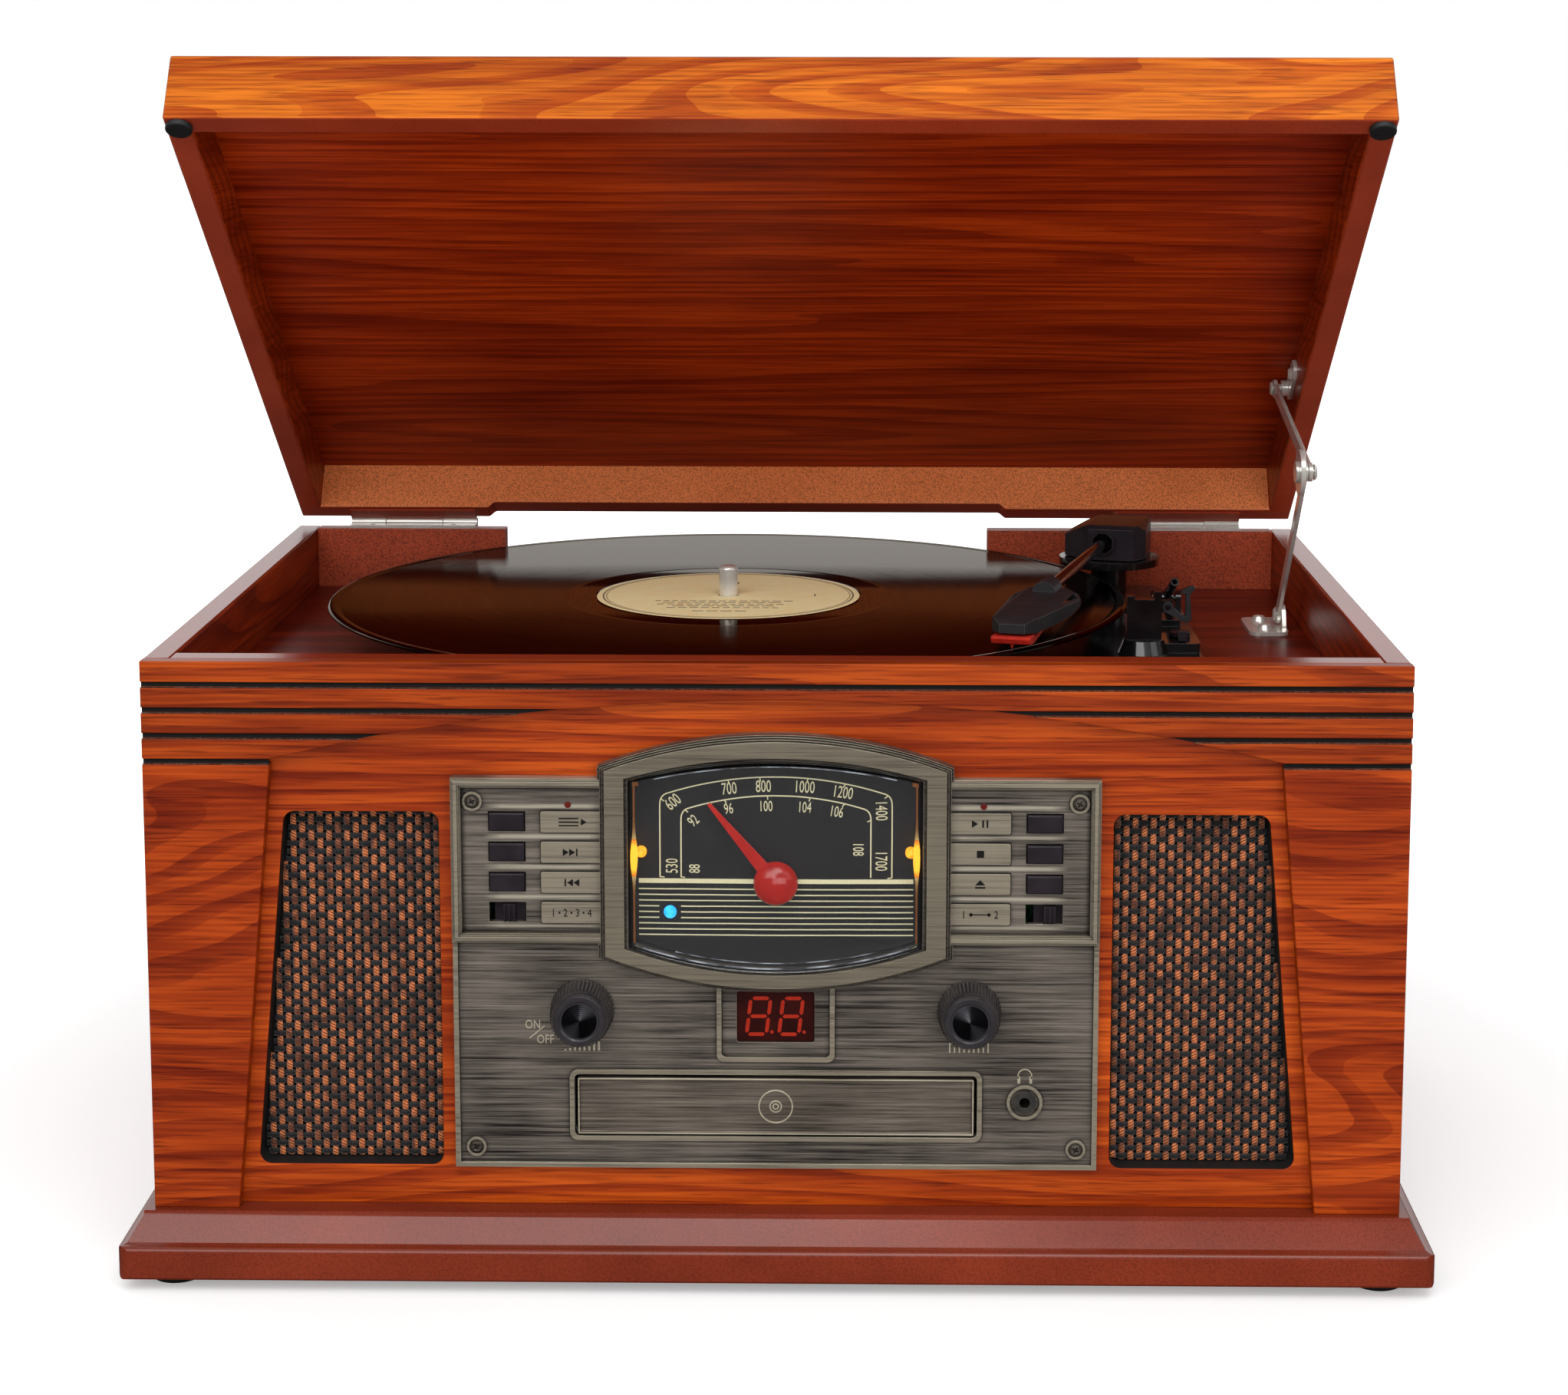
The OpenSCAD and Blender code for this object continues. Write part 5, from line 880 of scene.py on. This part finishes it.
# ---- Display ----
# Two seven-segment figures with their points, dim red bars behind a dark red window. The window
# stands in a frame of the panel and is as bought.
display_tint = mottled(finish_coat("dark red display window", Roughness=0.12, IOR=1.5),
                       120.0, (0.3, "#220605"), (0.7, "#330b08"))
eased("display_module", 0.15, display_tint)
segment_red = glowing("lit red bars", "#c03418", 0.32, "#7c1a0e")
WINDOW_Z, WINDOW_Y = 92.4, 3.8
BAR_DEPTH = (WINDOW_Y - 0.06, WINDOW_Y + 0.02)
FIGURE_X, FIGURE_W, FIGURE_H = 5.4, 3.3, 6.2       # place, half width and half height of a figure
BAR_THICK, BAR_GAP, LEAN = 0.62, 0.45, 0.12
upper = [(-FIGURE_W, FIGURE_H), (FIGURE_W, FIGURE_H)]
lower = [(-FIGURE_W, -FIGURE_H), (FIGURE_W, -FIGURE_H)]
left, right = (-FIGURE_W, 0), (FIGURE_W, 0)
segments = [upper, (upper[1], right), (right, lower[1]), lower, (left, lower[0]), (upper[0], left),
            (left, right)]
bars = []
for middle in (-FIGURE_X, FIGURE_X):
    for ends in segments:
        p, q = np.array(ends, float)
        run = (q - p) / np.linalg.norm(q - p)
        side = np.array([-run[1], run[0]]) * BAR_THICK
        p, q, tip = p + run * BAR_GAP, q - run * BAR_GAP, run * BAR_THICK
        hexagon = np.array([p, p + tip - side, q - tip - side, q, q - tip + side, p + tip + side])
        hexagon[:, 0] += middle + LEAN * hexagon[:, 1] - 0.3
        bars.append(prism(hexagon + [0, WINDOW_Z], *BAR_DEPTH))
    bars.append(disc(middle + 4.1, WINDOW_Z - 5.4, 0.6, *BAR_DEPTH, n=10))
build("display_bars", *joined(bars), "cabinet", segment_red, slot="display_red", smooth=False)

# ---- Buttons, switches, knobs and socket ----
# Caps of satin black ABS in slots of the panel; the knobs are glossy, with 48 ribs round the skirt
# and a face turned like a spun disc, whose two fans of spread light are painted into its colour.


def black_moulding(name, colour, rough, grit=0.00003, coat=0.0):
    """Moulded black ABS, IOR 1.53, with a spark-eroded grain of 0.6 mm, grit metres deep, and dust
    that leaves it paler in patches of 8 mm."""
    both = finish_coat(name, Roughness=rough, IOR=1.53, Coat_Weight=coat, Coat_Roughness=0.05,
                       Specular_IOR_Level=0.5 if coat else 0.25)
    paler = "#" + "".join("%02x" % (int(colour[i:i + 2], 16) + 9) for i in (1, 3, 5))
    mottled(both, 120.0, (0.35, colour), (0.7, paler))
    return grained(both, 1600.0, grit, strength=0.5)


satin_black = black_moulding("satin black ABS", "#1f191e", 0.33)
rib_black = black_moulding("black ABS of the ribbed knobs", "#262326", 0.24, 0.00001, 0.3)
for name in ("button_program", "button_next", "button_previous", "button_play", "button_stop",
             "button_eject"):
    eased(name, 0.25, satin_black)
for name in ("function_switch", "band_switch"):
    eased(name, 0.12, satin_black)

# Lacquered metal turned in fine circles, drawn 0.7 mm apart so that they show. The two fans of light
# that such circles spread are a painted highlight, pale where the cosine of twice the angle about
# each knob's middle is high; both knobs share them by their distance aside.
spun, t, s, at = finish_coat("spun black knob face with painted fans of light", Metallic=0.9, Roughness=0.34)
centre = add(t, "SeparateXYZ", {0: at})
aside = add(t, "Math", {0: centre.outputs["X"]}, operation="ABSOLUTE")
sideways = add(t, "Math", {0: aside.outputs[0], 1: KNOB_X / 1000}, operation="SUBTRACT")
upward = add(t, "Math", {0: centre.outputs["Z"], 1: KNOB_Z / 1000}, operation="SUBTRACT")
flat = add(t, "CombineXYZ", {0: sideways.outputs[0], 1: upward.outputs[0]})
radius = add(t, "VectorMath", {0: flat.outputs[0]}, operation="LENGTH")
angle = add(t, "Math", {0: upward.outputs[0], 1: sideways.outputs[0]}, operation="ARCTAN2")
twice = add(t, "Math", {0: angle.outputs[0], 1: 2.0, 2: 1.9}, operation="MULTIPLY_ADD")
twice = add(t, "Math", {0: twice.outputs[0]}, operation="COSINE")
painted_fan_highlight = add(t, "MapRange", {0: twice.outputs[0], 1: 0.2, 2: 1.0, 3: 0.0, 4: 1.0})
t.links.new(mixed(t, painted_fan_highlight.outputs[0], "#1b1b1f", "#5b5b60"), s.inputs["Base Color"])
circles = add(t, "Math", {0: radius.outputs["Value"], 1: 9000.0}, operation="MULTIPLY")
circles = add(t, "Math", {0: circles.outputs[0]}, operation="SINE")
bump = add(t, "Bump", {"Height": circles.outputs[0], "Distance": 0.00002, "Strength": 0.5})
t.links.new(bump.outputs[0], s.inputs["Normal"])
FRONT_Y = PANEL_Y - 13.1              # depth of a knob's face
RIBS = 48
# radii of the face's circles from its middle out, and how far each stands in front of the knob
r = np.array([0.0, 0.9, 1.1, 5.6, 5.9])[:, None]
rise = np.array([0.35, 0.3, 0.12, 0.12, 0.0])[:, None]
a = np.arange(RIBS) * 2 * np.pi / RIBS
for x, name in ((-KNOB_X, "volume_knob"), (KNOB_X, "tuning_knob")):
    eased(name, 0.14, rib_black)
    y = np.broadcast_to(FRONT_Y + 0.02 - rise, (len(r), RIBS))
    turned_face = grid_faces(len(r), RIBS, round_cols=True)[:, ::-1]
    points = np.stack([x + r * np.cos(a), y, KNOB_Z + r * np.sin(a)], -1)
    face = build(name + "_face", points, turned_face, name, spun, slot="black_plastic", easing=0)
    bm = bmesh.new()                      # the points of the innermost circle are one
    bm.from_mesh(face.data)
    bmesh.ops.remove_doubles(bm, verts=bm.verts, dist=1e-7)
    bm.to_mesh(face.data)
    bm.free()

# barrel-plated steel, with a bloom of 3 mm
zinc = mottled(finish_coat("zinc-plated steel", Metallic=1.0, Roughness=0.34),
               300.0, (0.3, "#8f8c86"), (0.7, "#b7b4ad"), detail=3.0)
eased("jacks", 0.25, zinc)

# ---- Disc tray and its works ----
# The tray's door is plated like the panel and its rim is rubbed; behind it slide the grey tray and
# its black housing. The circuit board, the transformer and the rear cover are as bought.
door_pewter = brushed_pewter("antiqued brushed plating of the tray's door",
                             "#3a322c", "#9f9385", 0.36)
tray_grey = black_moulding("dark grey tray plastic", "#232326", 0.4)
DOOR_BACK = 5.6                       # depth up to which the tray's faces are its door's
eased("disc_tray", 0.3, door_pewter, tray_grey,
      pick=lambda c, n: (c[:, 1] * 1000 + MOVED > DOOR_BACK).astype(int))
DOOR_X, DOOR_Z, DOOR_H = 66.0, 61.4, 9.42          # half width, middle and half height of its rim
door = [[-DOOR_X, DOOR_Z - DOOR_H], [DOOR_X, DOOR_Z - DOOR_H],
        [DOOR_X, DOOR_Z + DOOR_H], [-DOOR_X, DOOR_Z + DOOR_H]]
tray_marks = [line(door, 0.34, PANEL_Y - 0.62, PANEL_Y - 0.4, closed=True)]
tray_marks += [ring(0, DOOR_Z, r, 0.42, PANEL_Y - 0.3, PANEL_Y + 0.1, n=48)
               for r in (5.6, 1.9, 0.9)]
build("tray_door_rim", *joined(tray_marks), "disc_tray", rubbed, slot="pewter", smooth=False)
matt_black = black_moulding("matt black ABS", "#1f1e20", 0.5, 0.00006)
eased("disc_mechanism", 0.4, matt_black)
# lacquer over etched copper, whose tracks show as paler lines 4 mm apart
laminate, t, s, at = finish_coat("green solder resist", Roughness=0.35, IOR=1.5)
tracks = add(t, "TexVoronoi", {"Vector": at, "Scale": 240.0}, feature="DISTANCE_TO_EDGE")
resist = add(t, "ValToRGB", {0: tracks.outputs["Distance"]},
             [(0.04, "#2c6a3c"), (0.09, "#17402a")])
t.links.new(resist.outputs[0], s.inputs["Base Color"])
eased("main_board", 0.2, laminate)
# a stack of varnished sheets, seen as level lines
core_paint, t, s, at = finish_coat("varnished transformer iron", Base_Color="#4b4c50", Metallic=0.7,
                                   Roughness=0.45)
sheets = add(t, "TexWave", {"Vector": at, "Scale": 320.0}, bands_direction="Z")
bump = add(t, "Bump", {"Height": sheets.outputs["Fac"], "Distance": 0.0001})
t.links.new(bump.outputs[0], s.inputs["Normal"])
eased("transformer", 0.4, core_paint)
eased("rear_cover", 0.3, matt_black)

# ---- Record deck ----
# A glossy black plastic plate holds the bearing and the arm. The die-cast platter carries a felt mat
# and a pressed vinyl record; its paper label carries only rings, two figures and rows of dashes.
SPINDLE_X, SPINDLE_Y, RECORD_Z = -22.5, 167.0, 206.1
gloss_black = black_moulding("gloss black ABS", "#0e0d0e", 0.16, 0.00001, 0.4)
eased("turntable_chassis", 0.35, gloss_black)
# cast metal left as it came from its die, bright with a flow grain of 2.5 mm
cast = grained(finish_coat("die-cast aluminium", Base_Color="#b4b3af", Metallic=1.0,
                           Roughness=0.38), 400.0, 0.00006, detail=3.0)
eased("platter", 0, cast)
# pressed wool, which has no shine but a soft light along its edges
felt_black = grained(finish_coat("black wool felt", Base_Color="#141314", Roughness=0.95,
                                 Sheen_Weight=0.4), 2200.0, 0.0002, detail=4.0)
eased("slip_mat", 0, felt_black)
# bright plate over polished steel, a little uneven; it mirrors the white room
nickel = mottled(finish_coat("nickel plate", Metallic=0.6, Roughness=0.2),
                 140.0, (0.3, "#dbd7cf"), (0.7, "#eae7e1"))
eased("spindle", 0, nickel)
eased("drive_motor", 0.3, zinc)
eased("motor_pulley", 0.1, cast)
eased("drive_belt", 0.1, foot_rubber)

# The record is pressed vinyl: its rim is a round bead, the playing band lies a little lower, and
# smooth gaps divide its louder and quieter passages. Seen at a low angle, half of the light on its
# grooves is lost between them, so it is a black mirror, 4% bright face on, whose edge tint holds
# back the shine. The grooves are drawn 0.7 mm apart, seven times their real spacing, to show.
vinyl, t, s, at = finish_coat("pressed black vinyl", Metallic=1.0, Specular_Tint="#c8c3bd")
away = add(t, "VectorMath", {0: at, 1: (SPINDLE_X / 1000, (SPINDLE_Y - MOVED) / 1000, 0)},
           operation="SUBTRACT")
flat = add(t, "VectorMath", {0: away.outputs[0], 1: (1, 1, 0)}, operation="MULTIPLY")
out = add(t, "VectorMath", {0: flat.outputs[0]}, operation="LENGTH").outputs["Value"]
wave = add(t, "Math", {0: out, 1: 9000.0}, operation="MULTIPLY")
wave = add(t, "Math", {0: wave.outputs[0]}, operation="SINE")
radial = add(t, "CombineXYZ", {0: out})
loud = add(t, "TexNoise", {"Vector": radial.outputs[0], "Scale": 620.0, "Detail": 3.0,
                           "Roughness": 0.7}).outputs["Fac"]
depth = add(t, "Math", {0: wave.outputs[0], 1: 0.5, 2: loud}, operation="MULTIPLY_ADD")
# the played band lies from 63 to 146.5 mm out, with five quiet gaps where a slow sine peaks
band_at = add(t, "MapRange", {0: out, 1: 0.0625, 2: 0.063, 3: 0.0, 4: 1.0})
rim_at = add(t, "MapRange", {0: out, 1: 0.1465, 2: 0.147, 3: 1.0, 4: 0.0})
played = add(t, "Math", {0: band_at.outputs[0], 1: rim_at.outputs[0]}, operation="MULTIPLY")
gap = add(t, "Math", {0: out, 1: 430.0}, operation="MULTIPLY")
gap = add(t, "Math", {0: gap.outputs[0]}, operation="SINE")
quiet = add(t, "MapRange", {0: gap.outputs[0], 1: 0.985, 2: 0.992, 3: 1.0, 4: 0.1})
played = add(t, "Math", {0: played.outputs[0], 1: quiet.outputs[0]},
             operation="MULTIPLY").outputs[0]
cut = add(t, "Math", {0: depth.outputs[0], 1: played}, operation="MULTIPLY")
bump = add(t, "Bump", {"Height": cut.outputs[0], "Distance": 0.000006, "Strength": 1.0})
t.links.new(bump.outputs[0], s.inputs["Normal"])
t.links.new(add(t, "MapRange", {0: played, 3: 0.05, 4: 0.08}).outputs[0], s.inputs["Roughness"])
sheen = add(t, "MapRange", {0: loud, 1: 0.35, 2: 0.65})
t.links.new(mixed(t, sheen.outputs[0], "#2a2725", "#403a37"), s.inputs["Base Color"])
# uncoated paper, dull and a little yellowed
paper = mottled(finish_coat("cream label paper", Roughness=0.6, IOR=1.5),
                260.0, (0.3, "#ffe7a8"), (0.7, "#fff2be"), detail=4.0)
# The section as (radius, height) points, from the hole's foot out, over the rim and in again. A
# point close to each corner keeps the flats between them level in the shading too.
profile = np.array([
    [3.68, -1.5], [149.6, -1.5], [150.6, -1.2], [151, -0.85], [150.9, -0.4], [150.4, -0.08],
    [149.6, 0.0], [148.2, 0.0], [147.3, -0.1], [146.8, -0.2], [146.4, -0.2], [62.6, -0.2],
    [62.2, -0.2], [61.6, -0.24], [61.2, -0.24], [51.2, -0.24], [50.8, -0.24], [50.0, -0.06],
    [49.7, -0.02], [49.3, -0.02], [37.0, -0.02], [36.6, -0.02], [36.2, -0.1], [35.8, -0.02],
    [35.4, -0.02], [4.4, -0.02], [3.9, -0.02], [3.68, -0.2]])
ROUND = 256                           # points round the record
LABEL_ROWS = range(17, 26)            # the rows of faces, of the profile's points, that are paper
a = np.arange(ROUND) * 2 * np.pi / ROUND
x = SPINDLE_X + profile[:, :1] * np.cos(a)
y = SPINDLE_Y + profile[:, :1] * np.sin(a)
z = np.broadcast_to(RECORD_Z + profile[:, 1:], x.shape)
faces = grid_faces(len(profile), ROUND, round_rows=True, round_cols=True)
on_label = np.repeat(np.isin(np.arange(len(profile)), LABEL_ROWS), ROUND)
disc_record = build("long_playing_record", np.stack([x, y, z], -1), faces, "turning_platter", vinyl,
                    paper, slot="vinyl", numbers=on_label.astype(int))
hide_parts("record")

# printing ink, soaked into the paper and worn
label_ink = mottled(finish_coat("brown label ink", Roughness=0.6, IOR=1.5),
                    900.0, (0.3, "#3e2f2a"), (0.7, "#64504a"))


def laid(parts, x0, y0, z0):
    """Turns flat shapes drawn upright into print lying face up: z of the drawing becomes depth y."""
    points, faces = parts
    return np.stack([x0 + points[:, 0], y0 + points[:, 2], z0 - points[:, 1]], -1), faces


LAID = (-0.035, 0.02)
print_rows = [ring(0, 0, 47.6, 0.5, *LAID, n=96), ring(0, 0, 46.4, 0.25, *LAID, n=96)]
print_rows += [lettering("33", 6.5, (0, 26), *LAID), lettering("1", 4.5, (33, 0), *LAID)]
# dashes of uneven length stand for lines of print: the height and half length of each line
print_lines = ((-13, 27), (-16.5, 24), (-20, 26), (-23.5, 20), (-27, 22), (-34, 12))
for row, (z, half) in enumerate(print_lines):
    x = -half
    for k in range(14):
        long = 2.0 + 2.6 * abs(math.sin(3.1 * k + 1.7 * row))
        if x + long > half:
            break
        print_rows.append(box_at(x, z - 0.45, x + long, z + 0.45, LAID))
        x += long + 1.1
build("label_print", *laid(joined(print_rows), SPINDLE_X, SPINDLE_Y, RECORD_Z - 0.02),
      "turning_platter", label_ink, slot="vinyl", smooth=False)

# ---- Tonearm ----
# A moulded turret with a slot for the pivot carries a glossy tube; the headshell is matt with a
# painted grey highlight along its edges, and holds a grey cartridge body, a red stylus holder and
# four leads on bare pins.
eased("tonearm_turret", 0.4, satin_black, steps=1)
eased("tonearm_tube", 0.2, gloss_black)
# the shell's rounded edges are painted pale grey as a highlight
shell_edge_highlight = black_moulding("painted grey highlight on the shell's edges", "#77736f", 0.4)
eased("headshell", 0.3, matt_black, shell_edge_highlight, steps=1, angle=50)
eased("cue_lever", 0.15, gloss_black)
eased("arm_clip", 0.2, matt_black)
eased("speed_lever", 0.25, satin_black)
ARM_X, ARM_Y, TUBE_Z = 129.0, 247.5, 216.0
ARM_A = math.radians(14.6896)         # the resting arm's angle from straight ahead
HOLDER_DOWN = 5.2                     # the red holder's faces lie this far below the tube's axis
# both mouldings are clouded a little, the red one matt and the grey one smoky and half clear
stylus_red = mottled(finish_coat("red stylus holder", Roughness=0.35, IOR=1.5),
                     260.0, (0.3, "#b42017"), (0.7, "#d23324"))
cartridge_grey = mottled(finish_coat("smoky grey cartridge body", Roughness=0.28, IOR=1.5),
                         330.0, (0.3, "#77787b"), (0.7, "#b4b5b8"), detail=3.0)
eased("cartridge", 0.2, cartridge_grey, stylus_red,
      pick=lambda c, n: (c[:, 2] * 1000 < TUBE_Z - HOLDER_DOWN).astype(int))


def along_arm(p):
    """Points of the arm's own frame, whose -y runs from the pivot to the stylus, put in place."""
    p = np.asarray(p, float)
    c, s_ = math.cos(-ARM_A), math.sin(-ARM_A)
    return np.stack([ARM_X + p[:, 0] * c - p[:, 1] * s_,
                     ARM_Y + p[:, 0] * s_ + p[:, 1] * c, p[:, 2]], -1)


def hose(path, r):
    """A round wire along a path: a ring of 8 points about each, turned square to the path, and a
    face over each end."""
    n = 8
    path = np.asarray(path, float)
    ahead = np.gradient(path, axis=0)
    ahead /= np.linalg.norm(ahead, axis=1)[:, None]
    up = np.where(np.abs(ahead[:, 2:]) > 0.9, [[1.0, 0, 0]], [[0, 0, 1.0]])
    side = np.cross(ahead, up)
    side /= np.linalg.norm(side, axis=1)[:, None]
    up = np.cross(side, ahead)
    a = (np.arange(n) * 2 * np.pi / n)[None, :, None]
    rings = path[:, None] + r * (np.cos(a) * side[:, None] + np.sin(a) * up[:, None])
    m = len(path)
    faces = [list(map(int, f)) for f in grid_faces(m, n, round_cols=True)]
    return rings.reshape(-1, 3), faces + [list(range(n))[::-1], [(m - 1) * n + i for i in range(n)]]


# soft PVC sleeve, matt and a little grimy
lead_white = mottled(finish_coat("white PVC lead", Roughness=0.4, IOR=1.5),
                     800.0, (0.3, "#bdb8ae"), (0.6, "#e2dfd8"))
PIN_Z = TUBE_Z - 4.6
LEADS = ((-3.3, 3.6), (-1.1, 5.2), (1.1, 3.4), (3.3, 5.0))    # each one's place aside, and its sag
leads = []
u = np.linspace(0, 1, 14)[:, None]
for x, low in LEADS:
    # a quadratic curve from a pin at the cartridge's back, sagging, to the neck of the shell
    a, b = np.array([x, -139.0, PIN_Z]), np.array([x * 0.6, -128.5, TUBE_Z - 3.4])
    sag = np.array([x * 1.1, -133.0, TUBE_Z - low - 3.2])
    path = (1 - u) ** 2 * a + 2 * u * (1 - u) * sag + u ** 2 * b
    leads.append(hose(along_arm(path), 0.34))
build("cartridge_leads", *joined(leads), "tonearm", lead_white, slot="matt_black")
pins = [hose(along_arm([[x, y, PIN_Z] for y in (-140.9, -139.8, -138.6)]), 0.42)
        for x, low in LEADS]
build("cartridge_pins", *joined(pins), "tonearm", nickel, slot="nickel")

# ---- Lid ----
# A shallow box of the same board on two nickel butt hinges. Its front edge is pale cherry veneer
# with tall arches, its underside dark veneer, its rear strip bare board; two rubber pads soften its
# close and a folding nickel stay holds it open.
HINGE_Y, HINGE_Z, OPEN = 294.3, 214.2, math.radians(35.5)


def shut(p):
    """Points of the open lid, in metres, where they would be with the lid shut, in millimetres."""
    p = p * 1000 + [0, MOVED, 0] - [0, HINGE_Y, HINGE_Z]
    c, s_ = math.cos(OPEN), math.sin(OPEN)
    return np.stack([p[:, 0], p[:, 1] * c - p[:, 2] * s_ + HINGE_Y,
                     p[:, 1] * s_ + p[:, 2] * c + HINGE_Z], -1)


def shut_way(n):
    """The same turn for directions."""
    c, s_ = math.cos(OPEN), math.sin(OPEN)
    return np.stack([n[:, 0], n[:, 1] * c - n[:, 2] * s_, n[:, 1] * s_ + n[:, 2] * c], -1)


def lid_faces(c, n):
    """0 front edge, 1 lacquered rims, 2 side boards, 3 bare rear strip."""
    c, n = shut(c), shut_way(n)
    front = (n[:, 1] < -0.7) & (c[:, 1] < -2)
    strip = (n[:, 1] < -0.7) & (c[:, 1] > 280) | (n[:, 1] > 0.7) & (c[:, 1] > 290)
    sides = np.abs(n[:, 0]) > 0.7
    return np.select([front, strip, sides], [0, 3, 2], 1)


lid_edge_veneer = veneer("pale cherry veneer of the lid's edge",
                         ["#e67e1e", "#d86e17", "#c65b11"], "X",
                         ring=8.5, figure=40, wave=6, draw=8, pores=0.45)
lid_side_veneer = veneer("cherry veneer of the lid's sides",
                         ["#b23f12", "#a5380f", "#8d2e0d"], "Y", ring=6, wave=4, turn=OPEN)
lid_inside_veneer = veneer("dark red-brown veneer inside the lid",
                           ["#ae390a", "#a43207", "#922a06"], "X",
                           ring=5, figure=38, wave=3, rough=0.4, pores=0.2, draw=14)
lid_strip = stained_board("bare board of the lid's rear strip", "#f08a50", "#dd7840", rough=0.5,
                          speckle=0.5)
eased("lid_frame", 0.8, lid_edge_veneer, rim_lacquer, lid_side_veneer, lid_strip, pick=lid_faces)
eased("lid_top", 0, lid_inside_veneer)
eased("lid_bumpers", 0.4, foot_rubber)
# the leaf under the lid's rim was lacquered with it, so only the knuckles are bright
KNUCKLE_Y = HINGE_Y - 3.6
eased("lid_hinge_leaves", 0.15, nickel, rim_lacquer,
      pick=lambda c, n: (shut(c)[:, 1] < KNUCKLE_Y).astype(int))
for name in ("cabinet_hinge_leaves", "stay_deck_bracket", "stay_lower_arm", "stay_upper_arm",
             "stay_lid_bracket"):
    eased(name, 0.15, nickel)

# ---- Cassette slot in the right side ----
# A black plastic mouth with a sprung flap and a small plated eject key under it, screwed on from
# inside.
eased("tape_deck", 0.4, satin_black)
eased("tape_flap", 0.25, gloss_black)
eased("tape_key", 0.25, nickel)

# ---- Room, lamps and camera ----
# A white room with five broad soft lamps, the strongest in front and above. The camera stands in
# front of the cabinet, a little right of its middle and as high as the open lid's top.
world = bpy.data.worlds.new("white room")
bpy.context.scene.world = world
world.use_nodes = True
t = world.node_tree
path = add(t, "LightPath")
seen = add(t, "Math", {0: path.outputs["Is Camera Ray"], 1: path.outputs["Is Transmission Ray"]},
           operation="MAXIMUM")
air = t.nodes["Background"]
air.inputs[0].default_value = linear("#ffffff")
level = add(t, "MapRange", {0: seen.outputs[0], 3: 0.42, 4: 1.0})
# mirrored in glossy parts, the room is bright overhead and behind and dark round the photographer
way = add(t, "SeparateXYZ", {0: add(t, "TexCoord").outputs["Generated"]})
overhead = add(t, "MapRange", {0: way.outputs[2], 1: 0.15, 2: 0.75, 3: 0.0, 4: 0.8})
behind = add(t, "MapRange", {0: way.outputs[1], 1: -0.2, 2: 0.85, 3: 0.06, 4: 1.0})
mirrored = add(t, "Math", {0: overhead.outputs[0], 1: behind.outputs[0]}, operation="MAXIMUM")
air_level = add(t, "Mix", {0: path.outputs["Is Glossy Ray"], 2: level.outputs[0],
                           3: mirrored.outputs[0]})
t.links.new(air_level.outputs[0], air.inputs[1])

floor_mesh = bpy.data.meshes.new("floor")
floor_mesh.from_pydata([(-6, -5, 0), (6, -5, 0), (6, 9, 0), (-6, 9, 0)], [], [(0, 1, 2, 3)])
floor = bpy.data.objects.new("floor", floor_mesh)
root.objects.link(floor)
# the floor burns out to plain white away from the cabinet, and is dull where it is mirrored
white_floor, t, s, at = finish_coat("white floor", Roughness=0.9, Emission_Color="#ffffff")
path = add(t, "LightPath")
far = add(t, "MapRange", {0: add(t, "VectorMath", {0: at}, operation="LENGTH").outputs["Value"],
                          1: 0.32, 2: 0.75, 3: 0.3, 4: 1.0})
burn = add(t, "Math", {0: path.outputs["Is Camera Ray"], 1: far.outputs[0]}, operation="MULTIPLY")
t.links.new(burn.outputs[0], s.inputs["Emission Strength"])
t.links.new(mixed(t, path.outputs["Is Glossy Ray"], "#fbfbfb", "#303030"), s.inputs["Base Color"])
floor_mesh.materials.append(white_floor)

for name, power, wide, place, aim in (
        ("front window", 19, (1.8, 1.2), (-0.7, -1.9, 1.4), (0, 0, 0.18)),
        ("low front fill", 13, (2.0, 0.8), (0.5, -2.2, 0.42), (0, 0, 0.2)),
        ("high front window", 9, (1.0, 0.8), (0.3, -1.2, 1.6), (0, 0.1, 0.2)),
        ("right fill", 4, (1.2, 1.2), (1.9, -1.2, 1.0), (0, 0, 0.15)),
        ("back fill", 8, (1.6, 1.0), (-0.6, 1.9, 1.6), (0, 0, 0.2))):
    lamp = bpy.data.lights.new(name, "AREA")
    lamp.shape, lamp.size, lamp.size_y, lamp.energy = "RECTANGLE", wide[0], wide[1], power
    lamp_at = bpy.data.objects.new(name, lamp)
    root.objects.link(lamp_at)
    lamp_at.location = place
    lamp_at.visible_glossy = "front fill" not in name      # gloss would mirror the low one
    way = np.array(place) - np.array(aim)
    lamp_at.rotation_euler = (math.acos(way[2] / np.linalg.norm(way)), 0,
                              math.atan2(way[0], -way[1]))

# the photograph's width, the focal length and the shift of its middle, all in its pixels
PHOTO_W, FOCAL, SHIFT_X, SHIFT_Y = 2044, 3999.5, -46.8, -280.0
camera = bpy.data.objects.new("camera", bpy.data.cameras.new("camera"))
root.objects.link(camera)
bpy.context.scene.camera = camera
camera.location = (0.02744, (-986.0 - MOVED) / 1000, 0.4117)
camera.rotation_mode = "XYZ"
camera.rotation_euler = (math.radians(90 - 8.01), -0.0015, 0.0133)
camera.data.sensor_width = 36
camera.data.lens = FOCAL / PHOTO_W * 36
camera.data.shift_x, camera.data.shift_y = SHIFT_X / PHOTO_W, SHIFT_Y / PHOTO_W
camera.data.clip_start, camera.data.clip_end = 0.05, 60
bpy.context.scene.view_settings.view_transform = "Standard"
